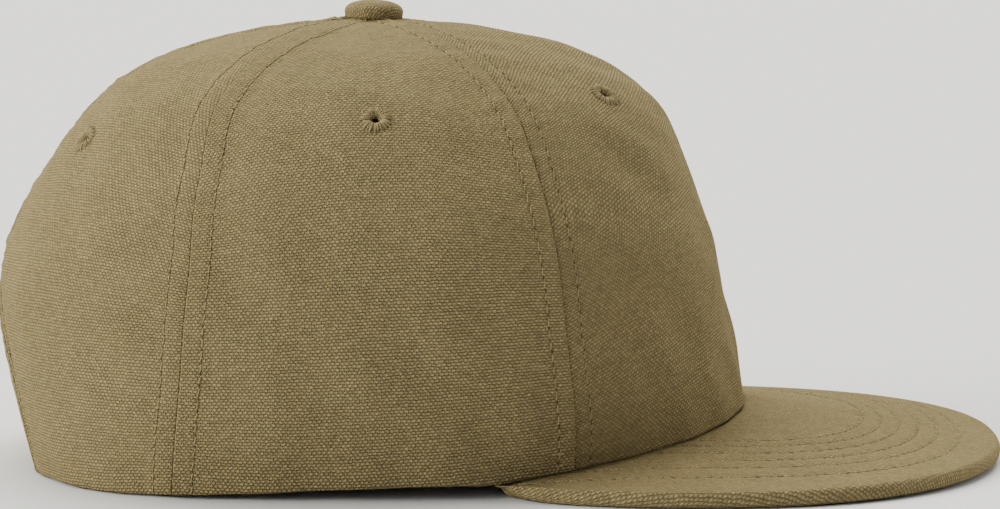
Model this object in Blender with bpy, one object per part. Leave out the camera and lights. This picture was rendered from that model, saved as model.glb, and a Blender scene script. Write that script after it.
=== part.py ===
"""Five-panel cap: canvas crown, flat brim, covered top button, stitched eyelets and a back strap.

The wearer faces -Y, +Z is up and the wearer's right side is at -X. The cap stands on z = 0
and the origin lies at the middle of its head opening. Lengths are in metres.
An azimuth is an angle round the crown in degrees, 0 at the front and 90 on the wearer's right.
A share up the crown runs from 0 at the level of the table to 1 at the crown's top.
"""

import math
from typing import NamedTuple

import bmesh
import bpy
import numpy as np
from mathutils import Matrix, Vector

MM = 0.001

# Cloth and clearance
CLOTH = 1.5 * MM
GAP = 0.3 * MM

# Crown, on its outer face
CROWN_HEIGHT = 116.6 * MM
CROWN_FRONT = 100.5 * MM
CROWN_BACK = 100.5 * MM
CROWN_HALF_WIDTH = 84.0 * MM
RIM_LIFT = 3.4 * MM
RIM_LIFT_FROM = 75.0 * MM
RIM_LIFT_OVER = 105.0 * MM

# Brim: its outline runs round a point ahead of the head opening
BRIM_MIDDLE = 84.0 * MM
BRIM_REACH = 85.0 * MM
BRIM_REAR = 84.5 * MM
BRIM_HALF_WIDTH = 93.5 * MM
BRIM_SQUARE = 2.2
BRIM_THICKNESS = 4.0 * MM
BRIM_EDGE_ROUND = 1.5 * MM
BRIM_EDGE_FLAT = 0.4 * MM
BRIM_CORNER_THICKNESS = 1.4 * MM
BRIM_CORNER_TAPER = 18.0 * MM
BRIM_JOIN = 10.0 * MM

# Height of the brim's upper face along the crown and along its outer edge
SEAM_CREST = 14.8 * MM
SEAM_DROP = 12.2 * MM
SEAM_BEND = 1.25
TIP_LIFT = 1.0 * MM
TIP_SPREAD = 0.65
BRIM_ARCH = 0.95

# Top button and the hole that its post goes through
BUTTON_RADIUS = 7.9 * MM
BUTTON_HEIGHT = 5.2 * MM
BUTTON_SHOULDER = 2.4 * MM
BUTTON_TUCK = 0.6 * MM
BUTTON_POST_RADIUS = 2.2 * MM
BUTTON_TILT = 1.6

# Eyelets
EYELET_RADIUS = 4.2 * MM
EYELET_HOLE_RADIUS = 1.2 * MM
EYELET_NECK_RADIUS = 1.9 * MM
EYELET_FLANGE = 0.6 * MM
EYELET_LIP = 0.2 * MM
EYELET_SEAT = 0.4 * MM

# Arch and strap at the back
ARCH_HALF_WIDTH = 33.0 * MM
ARCH_HEIGHT = 41.0 * MM
STRAP_WIDTH = 20.0 * MM
STRAP_THICKNESS = 1.8 * MM
STRAP_LOW = 2.6 * MM
STRAP_TUCK = 16.0 * MM
STRAP_SAG = 4.4 * MM
SLIDE_LENGTH = 11.0 * MM
SLIDE_WALL = 1.2 * MM
SLIDE_EDGE_ROUND = 0.5 * MM
SLIDE_CLEARANCE = 0.5 * MM

# Facets
FRONT_COLUMNS = 24
SIDE_COLUMNS = 14
BACK_COLUMNS = 12
PANEL_ROWS = 18
BRIM_COLUMNS = 36
BRIM_ROWS = 6
BRIM_EDGE_ROWS = 2
STRAP_COLUMNS = 16
STRAP_ROWS = 3
BUTTON_SIDES = 24
BUTTON_ROWS = 4
EYELET_SIDES = 12
ARCH_SIDES = 24

# Steps of the numeric searches
FINE_STEPS = 800
PROBE_AZIMUTH = 0.2
PROBE_SHARE = 0.002
SMALLEST_RADIUS = 0.01 * MM
SPIN_MERGE = 0.001 * MM

CANVAS_COLOUR = (0.36, 0.29, 0.17, 1.0)
THREAD_COLOUR = (0.40, 0.33, 0.20, 1.0)
METAL_COLOUR = (0.32, 0.27, 0.19, 1.0)


class Section(NamedTuple):
    """One level of the crown: lengths are shares of the crown's sizes, seams are azimuths."""

    rise: float
    front: float
    back: float
    side: float
    front_square: float
    back_square: float
    front_seam: float
    rear_seam: float


SECTIONS = [
    Section(0.000, 1.022, 0.894, 0.970, 2.10, 2.90, 53.5, 121.9),
    Section(0.130, 1.002, 0.941, 0.990, 2.15, 2.55, 53.5, 121.1),
    Section(0.260, 0.972, 0.976, 1.000, 2.20, 2.30, 54.5, 120.3),
    Section(0.385, 0.942, 0.990, 0.998, 2.25, 2.20, 55.5, 119.8),
    Section(0.500, 0.910, 0.967, 0.978, 2.30, 2.10, 56.0, 119.8),
    Section(0.610, 0.868, 0.911, 0.926, 2.30, 2.05, 56.0, 120.5),
    Section(0.715, 0.831, 0.838, 0.835, 2.25, 2.00, 55.5, 122.0),
    Section(0.812, 0.768, 0.747, 0.725, 2.15, 2.00, 54.5, 124.0),
    Section(0.890, 0.655, 0.620, 0.575, 2.05, 2.00, 53.5, 126.0),
    Section(0.945, 0.500, 0.458, 0.410, 2.00, 2.00, 53.0, 128.0),
    Section(0.980, 0.312, 0.275, 0.240, 2.00, 2.00, 52.5, 129.5),
    Section(0.996, 0.124, 0.110, 0.100, 2.00, 2.00, 52.0, 130.5),
    Section(1.000, 0.000, 0.000, 0.000, 2.00, 2.00, 52.0, 131.0),
]


class Fold(NamedTuple):
    """A soft ridge or hollow: its depth is a share of the crown's front."""

    azimuth: float
    share: float
    spread_azimuth: float
    spread_share: float
    depth: float


FOLDS = [
    Fold(24.0, 0.52, 9.0, 0.17, 0.012),
    Fold(0.0, 0.56, 10.0, 0.13, -0.010),
    Fold(36.0, 0.22, 12.0, 0.10, -0.012),
    Fold(20.0, 0.34, 14.0, 0.10, 0.007),
    Fold(78.0, 0.46, 16.0, 0.07, -0.006),
]


class EyeletPlace(NamedTuple):
    """Where an eyelet sits: its panel, azimuth and height as a share of the crown's."""

    name: str
    panel: str
    azimuth: float
    rise: float


EYELETS = [
    EyeletPlace("eyelet_front_right", "front_panel", 27.9, 0.844),
    EyeletPlace("eyelet_front_left", "front_panel", -27.9, 0.844),
    EyeletPlace("eyelet_side_right", "side_panel_right", 87.0, 0.806),
    EyeletPlace("eyelet_side_left", "side_panel_left", -87.0, 0.806),
    EyeletPlace("eyelet_back_right", "back_panel_right", 158.4, 0.742),
    EyeletPlace("eyelet_back_left", "back_panel_left", -158.4, 0.742),
]


def curve_through(values, level_end=False):
    """Return a smooth curve through evenly spaced values, level at its end if asked."""
    values = np.asarray(values, dtype=float)
    count = len(values)
    system = np.zeros((count, count))
    rest = np.zeros(count)
    system[0, 0] = 1.0
    for i in range(1, count - 1):
        system[i, i - 1:i + 2] = (1.0, 4.0, 1.0)
        rest[i] = 6.0 * (values[i - 1] - 2.0 * values[i] + values[i + 1])
    system[-1, -1] = 1.0
    if level_end:
        system[-1, -2:] = (1.0, 2.0)
        rest[-1] = -6.0 * (values[-1] - values[-2])
    bends = np.linalg.solve(system, rest)

    def curve(share):
        place = min(max(share, 0.0), 1.0) * (count - 1)
        low = min(int(place), count - 2)
        b = place - low
        a = 1.0 - b
        bend = (a ** 3 - a) * bends[low] + (b ** 3 - b) * bends[low + 1]
        return a * values[low] + b * values[low + 1] + bend / 6.0

    return curve


RISE = curve_through([row.rise for row in SECTIONS], level_end=True)
FRONT = curve_through([row.front for row in SECTIONS])
BACK = curve_through([row.back for row in SECTIONS])
SIDE = curve_through([row.side for row in SECTIONS])
FRONT_SQUARE = curve_through([row.front_square for row in SECTIONS])
BACK_SQUARE = curve_through([row.back_square for row in SECTIONS])
FRONT_SEAM = curve_through([row.front_seam for row in SECTIONS])
REAR_SEAM = curve_through([row.rear_seam for row in SECTIONS])
FINE_SHARES = np.linspace(0.0, 1.0, FINE_STEPS + 1)
FINE_RISES = np.array([RISE(share) for share in FINE_SHARES])


def ease(amount):
    """Run smoothly from 0 to 1."""
    amount = min(max(amount, 0.0), 1.0)
    return amount * amount * (3.0 - 2.0 * amount)


def share_at(height):
    """Return the share up the crown at a height."""
    return float(np.interp(height / CROWN_HEIGHT, FINE_RISES, FINE_SHARES))


def fold_depth(azimuth, share):
    """Return how far the folds lift the crown's face, the same on both sides."""
    depth = 0.0
    for fold in FOLDS:
        across = (abs(azimuth) - fold.azimuth) / fold.spread_azimuth
        upward = (share - fold.share) / fold.spread_share
        depth += fold.depth * math.exp(-across * across - upward * upward)
    return depth * CROWN_FRONT


def crown_radius(azimuth, share):
    """Return the distance of the crown's outer face from its upright axis."""
    angle = math.radians(azimuth)
    forward = math.cos(angle)
    sideways = math.sin(angle)
    ahead = forward >= 0.0
    reach = CROWN_FRONT * FRONT(share) if ahead else CROWN_BACK * BACK(share)
    width = CROWN_HALF_WIDTH * SIDE(share)
    square = FRONT_SQUARE(share) if ahead else BACK_SQUARE(share)
    reach = max(reach, SMALLEST_RADIUS)
    width = max(width, SMALLEST_RADIUS)
    spread = abs(forward / reach) ** square + abs(sideways / width) ** square
    return spread ** (-1.0 / square) + fold_depth(azimuth, share)


def crown_point(azimuth, share):
    """Return a point of the crown's outer face."""
    angle = math.radians(azimuth)
    radius = crown_radius(azimuth, share)
    return Vector((-radius * math.sin(angle), -radius * math.cos(angle), CROWN_HEIGHT * RISE(share)))


def crown_normal(azimuth, share):
    """Return the crown's outward direction at a point below its top."""
    low = max(share - PROBE_SHARE, 0.0)
    high = min(share + PROBE_SHARE, 1.0 - PROBE_SHARE)
    around = crown_point(azimuth + PROBE_AZIMUTH, share) - crown_point(azimuth - PROBE_AZIMUTH, share)
    upward = crown_point(azimuth, high) - crown_point(azimuth, low)
    normal = upward.cross(around)
    return normal.normalized()


def azimuth_of(x, y):
    """Return the azimuth of a plan point."""
    return math.degrees(math.atan2(-x, -y))


def brim_outline(turn):
    """Return a plan point of the brim's outer edge, for a turn round the brim's middle."""
    forward = math.cos(turn)
    sideways = math.sin(turn)
    reach = BRIM_REACH if forward >= 0.0 else BRIM_REAR
    spread = (abs(forward) / reach) ** BRIM_SQUARE + (abs(sideways) / BRIM_HALF_WIDTH) ** BRIM_SQUARE
    radius = spread ** (-1.0 / BRIM_SQUARE)
    return Vector((-radius * sideways, -BRIM_MIDDLE - radius * forward, 0.0))


def seam_radius(azimuth):
    """Return how far the crown's seam with the brim lies from the upright axis."""
    return crown_radius(azimuth, 0.5 * share_at(SEAM_CREST))


def find_brim_corner():
    """Return the turn at which the brim's outer edge meets the crown."""
    low = math.pi / 2.0
    high = math.pi * 0.95
    for _ in range(50):
        middle = 0.5 * (low + high)
        point = brim_outline(middle)
        if point.length > seam_radius(azimuth_of(point.x, point.y)):
            low = middle
        else:
            high = middle
    return low


BRIM_CORNER = find_brim_corner()
CORNER_POINT = brim_outline(BRIM_CORNER)
CORNER_AZIMUTH = azimuth_of(CORNER_POINT.x, CORNER_POINT.y)
EDGE_POINTS = [brim_outline(turn) for turn in np.linspace(0.0, BRIM_CORNER, FINE_STEPS + 1)]
EDGE_AZIMUTHS = [azimuth_of(point.x, point.y) for point in EDGE_POINTS]
EDGE_RADII = [point.length for point in EDGE_POINTS]


def brim_top(x, y):
    """Return the height of the brim's upper face, which falls from the crown to its edge."""
    azimuth = min(abs(azimuth_of(x, y)), CORNER_AZIMUTH)
    round_share = azimuth / CORNER_AZIMUTH
    seam = SEAM_CREST - SEAM_DROP * round_share ** SEAM_BEND
    edge = BRIM_THICKNESS + TIP_LIFT * (1.0 - ease(round_share / TIP_SPREAD))
    inner = seam_radius(azimuth) - CLOTH
    outer = float(np.interp(azimuth, EDGE_AZIMUTHS, EDGE_RADII))
    outward = min(max((math.hypot(x, y) - inner) / (outer - inner), 0.0), 1.0)
    return edge + (seam - edge) * (1.0 - outward) ** BRIM_ARCH


def brim_thickness(x, y):
    """Return the thickness of the brim, which thins towards its two rear corners."""
    from_corner = math.hypot(abs(x) - abs(CORNER_POINT.x), y - CORNER_POINT.y)
    full = BRIM_THICKNESS - BRIM_CORNER_THICKNESS
    return BRIM_CORNER_THICKNESS + full * ease(from_corner / BRIM_CORNER_TAPER)


def rim_height(x, y):
    """Return the height of the crown's lower edge over a plan point."""
    lift = RIM_LIFT * ease((RIM_LIFT_FROM - y) / RIM_LIFT_OVER)
    on_brim = ease((CORNER_POINT.y + BRIM_JOIN - y) / (BRIM_JOIN - GAP))
    return lift + (brim_top(x, y) + GAP - lift) * on_brim


def rim_share(azimuth):
    """Return the share up the crown at which its lower edge lies."""
    share = 0.0
    for _ in range(6):
        point = crown_point(azimuth, share)
        share = share_at(rim_height(point.x, point.y))
    return share


def top_share(azimuth):
    """Return the share up the crown at which a panel ends round the button's post."""
    low = 0.9
    high = 1.0
    for _ in range(40):
        middle = 0.5 * (low + high)
        if crown_radius(azimuth, middle) > BUTTON_POST_RADIUS + GAP:
            low = middle
        else:
            high = middle
    return low


def wall_pair(azimuth, share, depth, thickness, level_edge):
    """Return the outer and inner points of a wall that lies at a depth under the crown's face."""
    face = crown_point(azimuth, share)
    normal = crown_normal(azimuth, share)
    outer = face - normal * depth
    inner = face - normal * (depth + thickness)
    if level_edge:
        flat = Vector((normal.x, normal.y, 0.0))
        inner = face - flat * ((depth + thickness) / flat.length_squared)
        inner.z = rim_height(inner.x, inner.y)
        outer.z = rim_height(outer.x, outer.y)
    return outer, inner


def remove_everything():
    """Empty the scene."""
    for item in list(bpy.data.objects):
        bpy.data.objects.remove(item, do_unlink=True)


def finish_material(name, colour, roughness, metallic=0.0):
    """Return a plain material of one colour."""
    material = bpy.data.materials.new(name)
    material.use_nodes = True
    shader = material.node_tree.nodes["Principled BSDF"]
    shader.inputs["Base Color"].default_value = colour
    shader.inputs["Roughness"].default_value = roughness
    shader.inputs["Metallic"].default_value = metallic
    return material


def place_mesh(name, shape, colour, roughness=0.9, metallic=0.0, sharp=40.0):
    """Turn a bmesh into a named object with its own material."""
    bmesh.ops.recalc_face_normals(shape, faces=shape.faces)
    mesh = bpy.data.meshes.new(name)
    shape.to_mesh(mesh)
    shape.free()
    mesh.shade_smooth()
    mesh.set_sharp_from_angle(angle=math.radians(sharp))
    mesh.materials.append(finish_material(name, colour, roughness, metallic))
    item = bpy.data.objects.new(name, mesh)
    bpy.context.collection.objects.link(item)
    return item


def sheet_grid(columns, rows):
    """Return a grid over the unit square and its copy, joined along their edges."""
    shape = bmesh.new()
    bmesh.ops.create_grid(shape, x_segments=columns, y_segments=rows, size=0.5,
                          matrix=Matrix.Translation((0.5, 0.5, 0.0)))
    for vertex in shape.verts:
        vertex.co.x = round(vertex.co.x * columns) / columns
        vertex.co.y = round(vertex.co.y * rows) / rows
    face_side = list(shape.verts)
    grown = bmesh.ops.extrude_face_region(shape, geom=list(shape.faces))
    lining_side = [item for item in grown["geom"] if isinstance(item, bmesh.types.BMVert)]
    return shape, face_side, lining_side


def build_panel(name, left_edge, right_edge, columns):
    """Build one crown panel between two seams, given as azimuths for a share up the crown."""
    shape, face_side, lining_side = sheet_grid(columns, PANEL_ROWS)

    def place(across, upward):
        share = upward
        for _ in range(4):
            azimuth = left_edge(share) + (right_edge(share) - left_edge(share)) * across
            low = rim_share(azimuth)
            share = low + (top_share(azimuth) - low) * upward
        radius = max(crown_radius(azimuth, share), BUTTON_POST_RADIUS)
        half_gap = math.degrees(0.5 * GAP / radius)
        azimuth += half_gap * (1.0 - 2.0 * across)
        return wall_pair(azimuth, share, 0.0, CLOTH, upward == 0.0)

    for vertex in face_side:
        vertex.co = place(vertex.co.x, vertex.co.y)[0]
    for vertex in lining_side:
        vertex.co = place(vertex.co.x, vertex.co.y)[1]
    return place_mesh(name, shape, CANVAS_COLOUR)


def build_panels():
    """Build the five panels of the crown."""
    return {
        "front_panel": build_panel(
            "front_panel", lambda s: -FRONT_SEAM(s), FRONT_SEAM, FRONT_COLUMNS),
        "side_panel_right": build_panel(
            "side_panel_right", FRONT_SEAM, REAR_SEAM, SIDE_COLUMNS),
        "side_panel_left": build_panel(
            "side_panel_left", lambda s: -REAR_SEAM(s), lambda s: -FRONT_SEAM(s), SIDE_COLUMNS),
        "back_panel_right": build_panel(
            "back_panel_right", REAR_SEAM, lambda s: 180.0, BACK_COLUMNS),
        "back_panel_left": build_panel(
            "back_panel_left", lambda s: -180.0, lambda s: -REAR_SEAM(s), BACK_COLUMNS),
    }


def build_cutter(name, shape):
    """Turn a bmesh into a guide that only cuts other pieces."""
    bmesh.ops.recalc_face_normals(shape, faces=shape.faces)
    mesh = bpy.data.meshes.new(name)
    shape.to_mesh(mesh)
    shape.free()
    item = bpy.data.objects.new(name, mesh)
    bpy.context.collection.objects.link(item)
    item.hide_render = True
    item.display_type = "WIRE"
    return item


def cut(item, cutter):
    """Cut a guide's shape out of a piece."""
    modifier = item.modifiers.new(cutter.name, "BOOLEAN")
    modifier.operation = "DIFFERENCE"
    modifier.solver = "EXACT"
    modifier.object = cutter


def cut_arch(panels):
    """Cut the arch above the strap out of the two back panels."""
    shape = bmesh.new()
    outline = []
    for i in range(ARCH_SIDES + 1):
        turn = math.pi * i / ARCH_SIDES
        outline.append((ARCH_HALF_WIDTH * math.cos(turn), ARCH_HEIGHT * math.sin(turn)))
    outline.append((-ARCH_HALF_WIDTH, -CLOTH))
    outline.append((ARCH_HALF_WIDTH, -CLOTH))
    corners = [shape.verts.new((x, 0.5 * CROWN_BACK, z)) for x, z in outline]
    face = shape.faces.new(corners)
    grown = bmesh.ops.extrude_face_region(shape, geom=[face])
    far = [item for item in grown["geom"] if isinstance(item, bmesh.types.BMVert)]
    bmesh.ops.translate(shape, vec=(0.0, CROWN_BACK, 0.0), verts=far)
    cutter = build_cutter("arch_cutter", shape)
    cut(panels["back_panel_right"], cutter)
    cut(panels["back_panel_left"], cutter)


def eyelet_frame(place):
    """Return the matrix that stands an eyelet's axis on the crown's face, z outwards."""
    share = share_at(place.rise * CROWN_HEIGHT)
    centre = crown_point(place.azimuth, share)
    outward = crown_normal(place.azimuth, share)
    return Matrix.Translation(centre) @ outward.to_track_quat("Z", "Y").to_matrix().to_4x4()


def bend_to_crown(place, point):
    """Return where a point of an eyelet lies once the eyelet follows the crown's face."""
    frame = eyelet_frame(place)
    to_frame = frame.inverted()
    azimuth = place.azimuth
    share = share_at(place.rise * CROWN_HEIGHT)
    for _ in range(4):
        here = to_frame @ crown_point(azimuth, share)
        around = (to_frame @ crown_point(azimuth + PROBE_AZIMUTH, share) - here) / PROBE_AZIMUTH
        upward = (to_frame @ crown_point(azimuth, share + PROBE_SHARE) - here) / PROBE_SHARE
        miss = Vector((point.x - here.x, point.y - here.y))
        spread = around.x * upward.y - around.y * upward.x
        azimuth += (miss.x * upward.y - miss.y * upward.x) / spread
        share += (around.x * miss.y - around.y * miss.x) / spread
    return crown_point(azimuth, share) + crown_normal(azimuth, share) * point.z


def turned_ring(profile, sides):
    """Return a ring or a solid turned round z from a closed profile of radii and heights."""
    shape = bmesh.new()
    corners = [shape.verts.new((radius, 0.0, height)) for radius, height in profile]
    edges = [shape.edges.new((corners[i], corners[(i + 1) % len(corners)])) for i in range(len(corners))]
    bmesh.ops.spin(shape, geom=corners + edges, cent=(0.0, 0.0, 0.0), axis=(0.0, 0.0, 1.0),
                   angle=2.0 * math.pi, steps=sides, use_merge=True, use_duplicate=False)
    bmesh.ops.remove_doubles(shape, verts=shape.verts, dist=SPIN_MERGE)
    return shape


def build_eyelet(place, panel):
    """Build a stitched ring through a hole in its panel, with a flange on each face."""
    face = EYELET_SEAT
    lining = -CLOTH - EYELET_SEAT
    profile = [
        (EYELET_HOLE_RADIUS, lining - EYELET_LIP),
        (EYELET_HOLE_RADIUS + EYELET_LIP, lining - EYELET_FLANGE),
        (EYELET_RADIUS - EYELET_LIP, lining - EYELET_FLANGE),
        (EYELET_RADIUS, lining),
        (EYELET_NECK_RADIUS, lining),
        (EYELET_NECK_RADIUS, face),
        (EYELET_RADIUS, face),
        (EYELET_RADIUS - EYELET_LIP, face + EYELET_FLANGE),
        (EYELET_HOLE_RADIUS + EYELET_LIP, face + EYELET_FLANGE),
        (EYELET_HOLE_RADIUS, face + EYELET_LIP),
    ]
    shape = turned_ring(profile, EYELET_SIDES)
    for vertex in shape.verts:
        vertex.co = bend_to_crown(place, vertex.co)
    place_mesh(place.name, shape, THREAD_COLOUR, 0.7)
    hole = bmesh.new()
    bmesh.ops.create_cone(hole, cap_ends=True, segments=EYELET_SIDES, depth=2.0 * EYELET_RADIUS,
                          radius1=EYELET_NECK_RADIUS + GAP, radius2=EYELET_NECK_RADIUS + GAP,
                          matrix=eyelet_frame(place))
    cut(panel, build_cutter(place.name + "_cutter", hole))


def build_brim():
    """Build the brim as a plate between the crown's rim and the brim's rounded outer edge."""
    rows = BRIM_ROWS + BRIM_EDGE_ROWS
    shape, top_side, under_side = sheet_grid(BRIM_COLUMNS, rows)

    def place(across, row):
        side = 2.0 * across - 1.0
        azimuth = CORNER_AZIMUTH * side
        rim = wall_pair(azimuth, rim_share(azimuth), 0.0, CLOTH, True)[1]
        rim.z = 0.0
        edge = brim_outline(BRIM_CORNER * side)
        thickness = brim_thickness(edge.x, edge.y)
        rounding = min(BRIM_EDGE_ROUND, 0.5 * (thickness - BRIM_EDGE_FLAT))
        flat_end = edge - (edge - rim).normalized() * rounding
        turn = 0.5 * math.pi * max(row - BRIM_ROWS, 0) / BRIM_EDGE_ROWS
        plan = rim.lerp(flat_end, min(row / BRIM_ROWS, 1.0)).lerp(edge, math.sin(turn))
        tuck = rounding * (1.0 - math.cos(turn))
        top = Vector((plan.x, plan.y, brim_top(plan.x, plan.y) - tuck))
        under = Vector((plan.x, plan.y, top.z + 2.0 * tuck - brim_thickness(plan.x, plan.y)))
        return top, under

    for vertex in top_side:
        vertex.co = place(vertex.co.x, round(vertex.co.y * rows))[0]
    for vertex in under_side:
        vertex.co = place(vertex.co.x, round(vertex.co.y * rows))[1]
    return place_mesh("brim", shape, CANVAS_COLOUR, sharp=60.0)


def build_button():
    """Build the covered button with the post that holds it."""
    profile = [
        (0.0, -CLOTH),
        (BUTTON_POST_RADIUS, -CLOTH),
        (BUTTON_POST_RADIUS, GAP),
        (BUTTON_RADIUS - BUTTON_TUCK, GAP),
        (BUTTON_RADIUS, GAP + BUTTON_TUCK),
    ]
    shoulder = GAP + BUTTON_SHOULDER
    dome = BUTTON_HEIGHT - BUTTON_SHOULDER
    for row in range(BUTTON_ROWS):
        turn = 0.5 * math.pi * row / BUTTON_ROWS
        profile.append((BUTTON_RADIUS * math.cos(turn), shoulder + dome * math.sin(turn)))
    profile.append((0.0, shoulder + dome))
    shape = turned_ring(profile, BUTTON_SIDES)
    tilt = Matrix.Rotation(math.radians(BUTTON_TILT), 4, "X")
    stand = Matrix.Translation((0.0, 0.0, CROWN_HEIGHT)) @ tilt
    bmesh.ops.transform(shape, matrix=stand, verts=shape.verts)
    return place_mesh("top_button", shape, CANVAS_COLOUR)


def strap_share(height):
    """Return the share up the crown of a height on the strap, from its lower edge."""
    return share_at(STRAP_LOW + height)


def strap_sag(from_middle):
    """Return how far the taut strap lies inside the crown's oval, for degrees from its middle."""
    edge = math.degrees(math.asin(ARCH_HALF_WIDTH / CROWN_BACK))
    return STRAP_SAG * max(1.0 - (from_middle / edge) ** 2, 0.0)


def build_strap():
    """Build the strap inside the back panels, across the arch."""
    shape, face_side, lining_side = sheet_grid(STRAP_COLUMNS, STRAP_ROWS)
    half_angle = math.degrees((ARCH_HALF_WIDTH + STRAP_TUCK) / CROWN_BACK)

    def place(across, upward):
        side = 2.0 * across - 1.0
        share = strap_share(STRAP_WIDTH * upward)
        depth = CLOTH + GAP + strap_sag(half_angle * side)
        return wall_pair(180.0 + half_angle * side, share, depth, STRAP_THICKNESS, False)

    for vertex in face_side:
        vertex.co = place(vertex.co.x, vertex.co.y)[0]
    for vertex in lining_side:
        vertex.co = place(vertex.co.x, vertex.co.y)[1]
    return place_mesh("back_strap", shape, CANVAS_COLOUR)


def build_slide():
    """Build the plain metal slide that closes round the strap."""
    share = strap_share(0.5 * STRAP_WIDTH)
    outward = crown_normal(180.0, share)
    depth = CLOTH + GAP + strap_sag(0.0) + 0.5 * STRAP_THICKNESS
    centre = crown_point(180.0, share) - outward * depth
    stand = Matrix.Translation(centre) @ outward.to_track_quat("Y", "Z").to_matrix().to_4x4()
    inner_depth = STRAP_THICKNESS + 2.0 * SLIDE_CLEARANCE
    inner_height = STRAP_WIDTH + 2.0 * SLIDE_CLEARANCE
    outer_depth = inner_depth + 2.0 * SLIDE_WALL
    outer_height = inner_height + 2.0 * SLIDE_WALL
    shape = bmesh.new()
    bmesh.ops.create_cube(shape, size=1.0, matrix=Matrix.Diagonal(
        (SLIDE_LENGTH, outer_depth, outer_height, 1.0)))
    bmesh.ops.bevel(shape, geom=list(shape.edges), offset=SLIDE_EDGE_ROUND, offset_type="OFFSET",
                    affect="EDGES", segments=2, profile=0.5, material=-1)
    bmesh.ops.transform(shape, matrix=stand, verts=shape.verts)
    slide = place_mesh("strap_slide", shape, METAL_COLOUR, 0.4, 0.9, sharp=30.0)
    slot = bmesh.new()
    bmesh.ops.create_cube(slot, size=1.0, matrix=stand @ Matrix.Diagonal(
        (2.0 * SLIDE_LENGTH, inner_depth, inner_height, 1.0)))
    cut(slide, build_cutter("slide_cutter", slot))
    return slide


def main():
    """Build every piece of the cap."""
    remove_everything()
    panels = build_panels()
    cut_arch(panels)
    for place in EYELETS:
        build_eyelet(place, panels[place.panel])
    build_brim()
    build_button()
    build_strap()
    build_slide()


main()
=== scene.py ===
"""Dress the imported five-panel cap in canvas, with its seams, stitches, eyelets, button and strap.

The wearer faces -Y, +Z is up and the wearer's right side is at -X. Lengths are in metres.
An azimuth is an angle round the crown in degrees, 0 at the front and 90 on the wearer's right.
A share up the crown runs from 0 at the level of the table to 1 at the crown's top.
"""

from __future__ import annotations

import logging
import math
from dataclasses import dataclass, field
from enum import Enum
from functools import cached_property
from typing import Callable, Iterable

import bmesh
import bpy
import numpy as np
from mathutils import Matrix, Vector

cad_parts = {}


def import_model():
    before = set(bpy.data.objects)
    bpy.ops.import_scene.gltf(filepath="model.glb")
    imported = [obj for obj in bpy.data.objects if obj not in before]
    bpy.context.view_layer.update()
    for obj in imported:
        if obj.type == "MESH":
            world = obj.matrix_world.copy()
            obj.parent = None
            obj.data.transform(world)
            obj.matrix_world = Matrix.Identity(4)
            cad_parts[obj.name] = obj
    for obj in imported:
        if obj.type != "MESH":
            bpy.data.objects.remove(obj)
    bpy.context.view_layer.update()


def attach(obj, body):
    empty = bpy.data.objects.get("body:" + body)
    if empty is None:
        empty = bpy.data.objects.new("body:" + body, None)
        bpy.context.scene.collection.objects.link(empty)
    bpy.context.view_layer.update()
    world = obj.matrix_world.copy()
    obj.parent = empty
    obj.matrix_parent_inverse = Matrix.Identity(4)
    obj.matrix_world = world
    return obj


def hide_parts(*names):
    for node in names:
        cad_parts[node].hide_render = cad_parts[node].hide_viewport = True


LOG = logging.getLogger("cap")
MM = 0.001
WELD = 1e-7
FINE_WELD = 1e-8
BODY = "root"
CLOTH_UV = "cloth"

Array = np.ndarray
Colour = tuple[float, float, float, float]
Corner = bmesh.types.BMVert
Shape = bmesh.types.BMesh
Material = bpy.types.Material
Socket = bpy.types.NodeSocket
Triple = tuple[float, float, float]


def ease(amount: Array | float) -> Array:
    """Run smoothly from 0 to 1 as the amount does."""
    held = np.clip(amount, 0.0, 1.0)
    return held * held * (3.0 - 2.0 * held)


def bell(distance: Array | float, width: float) -> Array:
    """Return a bell of height 1 over a distance."""
    return np.exp(-((distance / width) ** 2))


def rolled(distance: Array, reach: float) -> Array:
    """Return how far a rounded edge falls, from 1 at the edge to 0 at its reach."""
    turned = np.clip(1.0 - distance / reach, 0.0, 1.0)
    return 1.0 - np.sqrt(1.0 - turned * turned)


def azimuth_of(x: Array, y: Array) -> Array:
    """Return the azimuths of plan points."""
    return np.degrees(np.arctan2(-x, -y))


class Curve:
    """A smooth curve through evenly spaced values, read at shares from 0 to 1."""

    def __init__(self, values: Iterable[float], level_end: bool = False) -> None:
        """Fit the curve.

        Args:
            values: what it runs through, at even steps.
            level_end: whether it ends level.
        """
        self.values = np.asarray(list(values), dtype=float)
        count = len(self.values)
        system = np.eye(count)
        rest = np.zeros(count)
        for i in range(1, count - 1):
            system[i, i - 1:i + 2] = (1.0, 4.0, 1.0)
            rest[i] = 6.0 * (self.values[i - 1] - 2.0 * self.values[i] + self.values[i + 1])
        if level_end:
            system[-1, -2:] = (1.0, 2.0)
            rest[-1] = -6.0 * (self.values[-1] - self.values[-2])
        self.bends = np.linalg.solve(system, rest)

    def __call__(self, share: Array | float) -> Array:
        """Read the curve.

        Args:
            share: one share or an array of them.

        Returns:
            The value at each share.
        """
        last = len(self.values) - 1
        place = np.clip(share, 0.0, 1.0) * last
        low = np.minimum(np.asarray(place).astype(int), last - 1)
        b = place - low
        a = 1.0 - b
        bend = (a ** 3 - a) * self.bends[low] + (b ** 3 - b) * self.bends[low + 1]
        return a * self.values[low] + b * self.values[low + 1] + bend / 6.0


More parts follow.
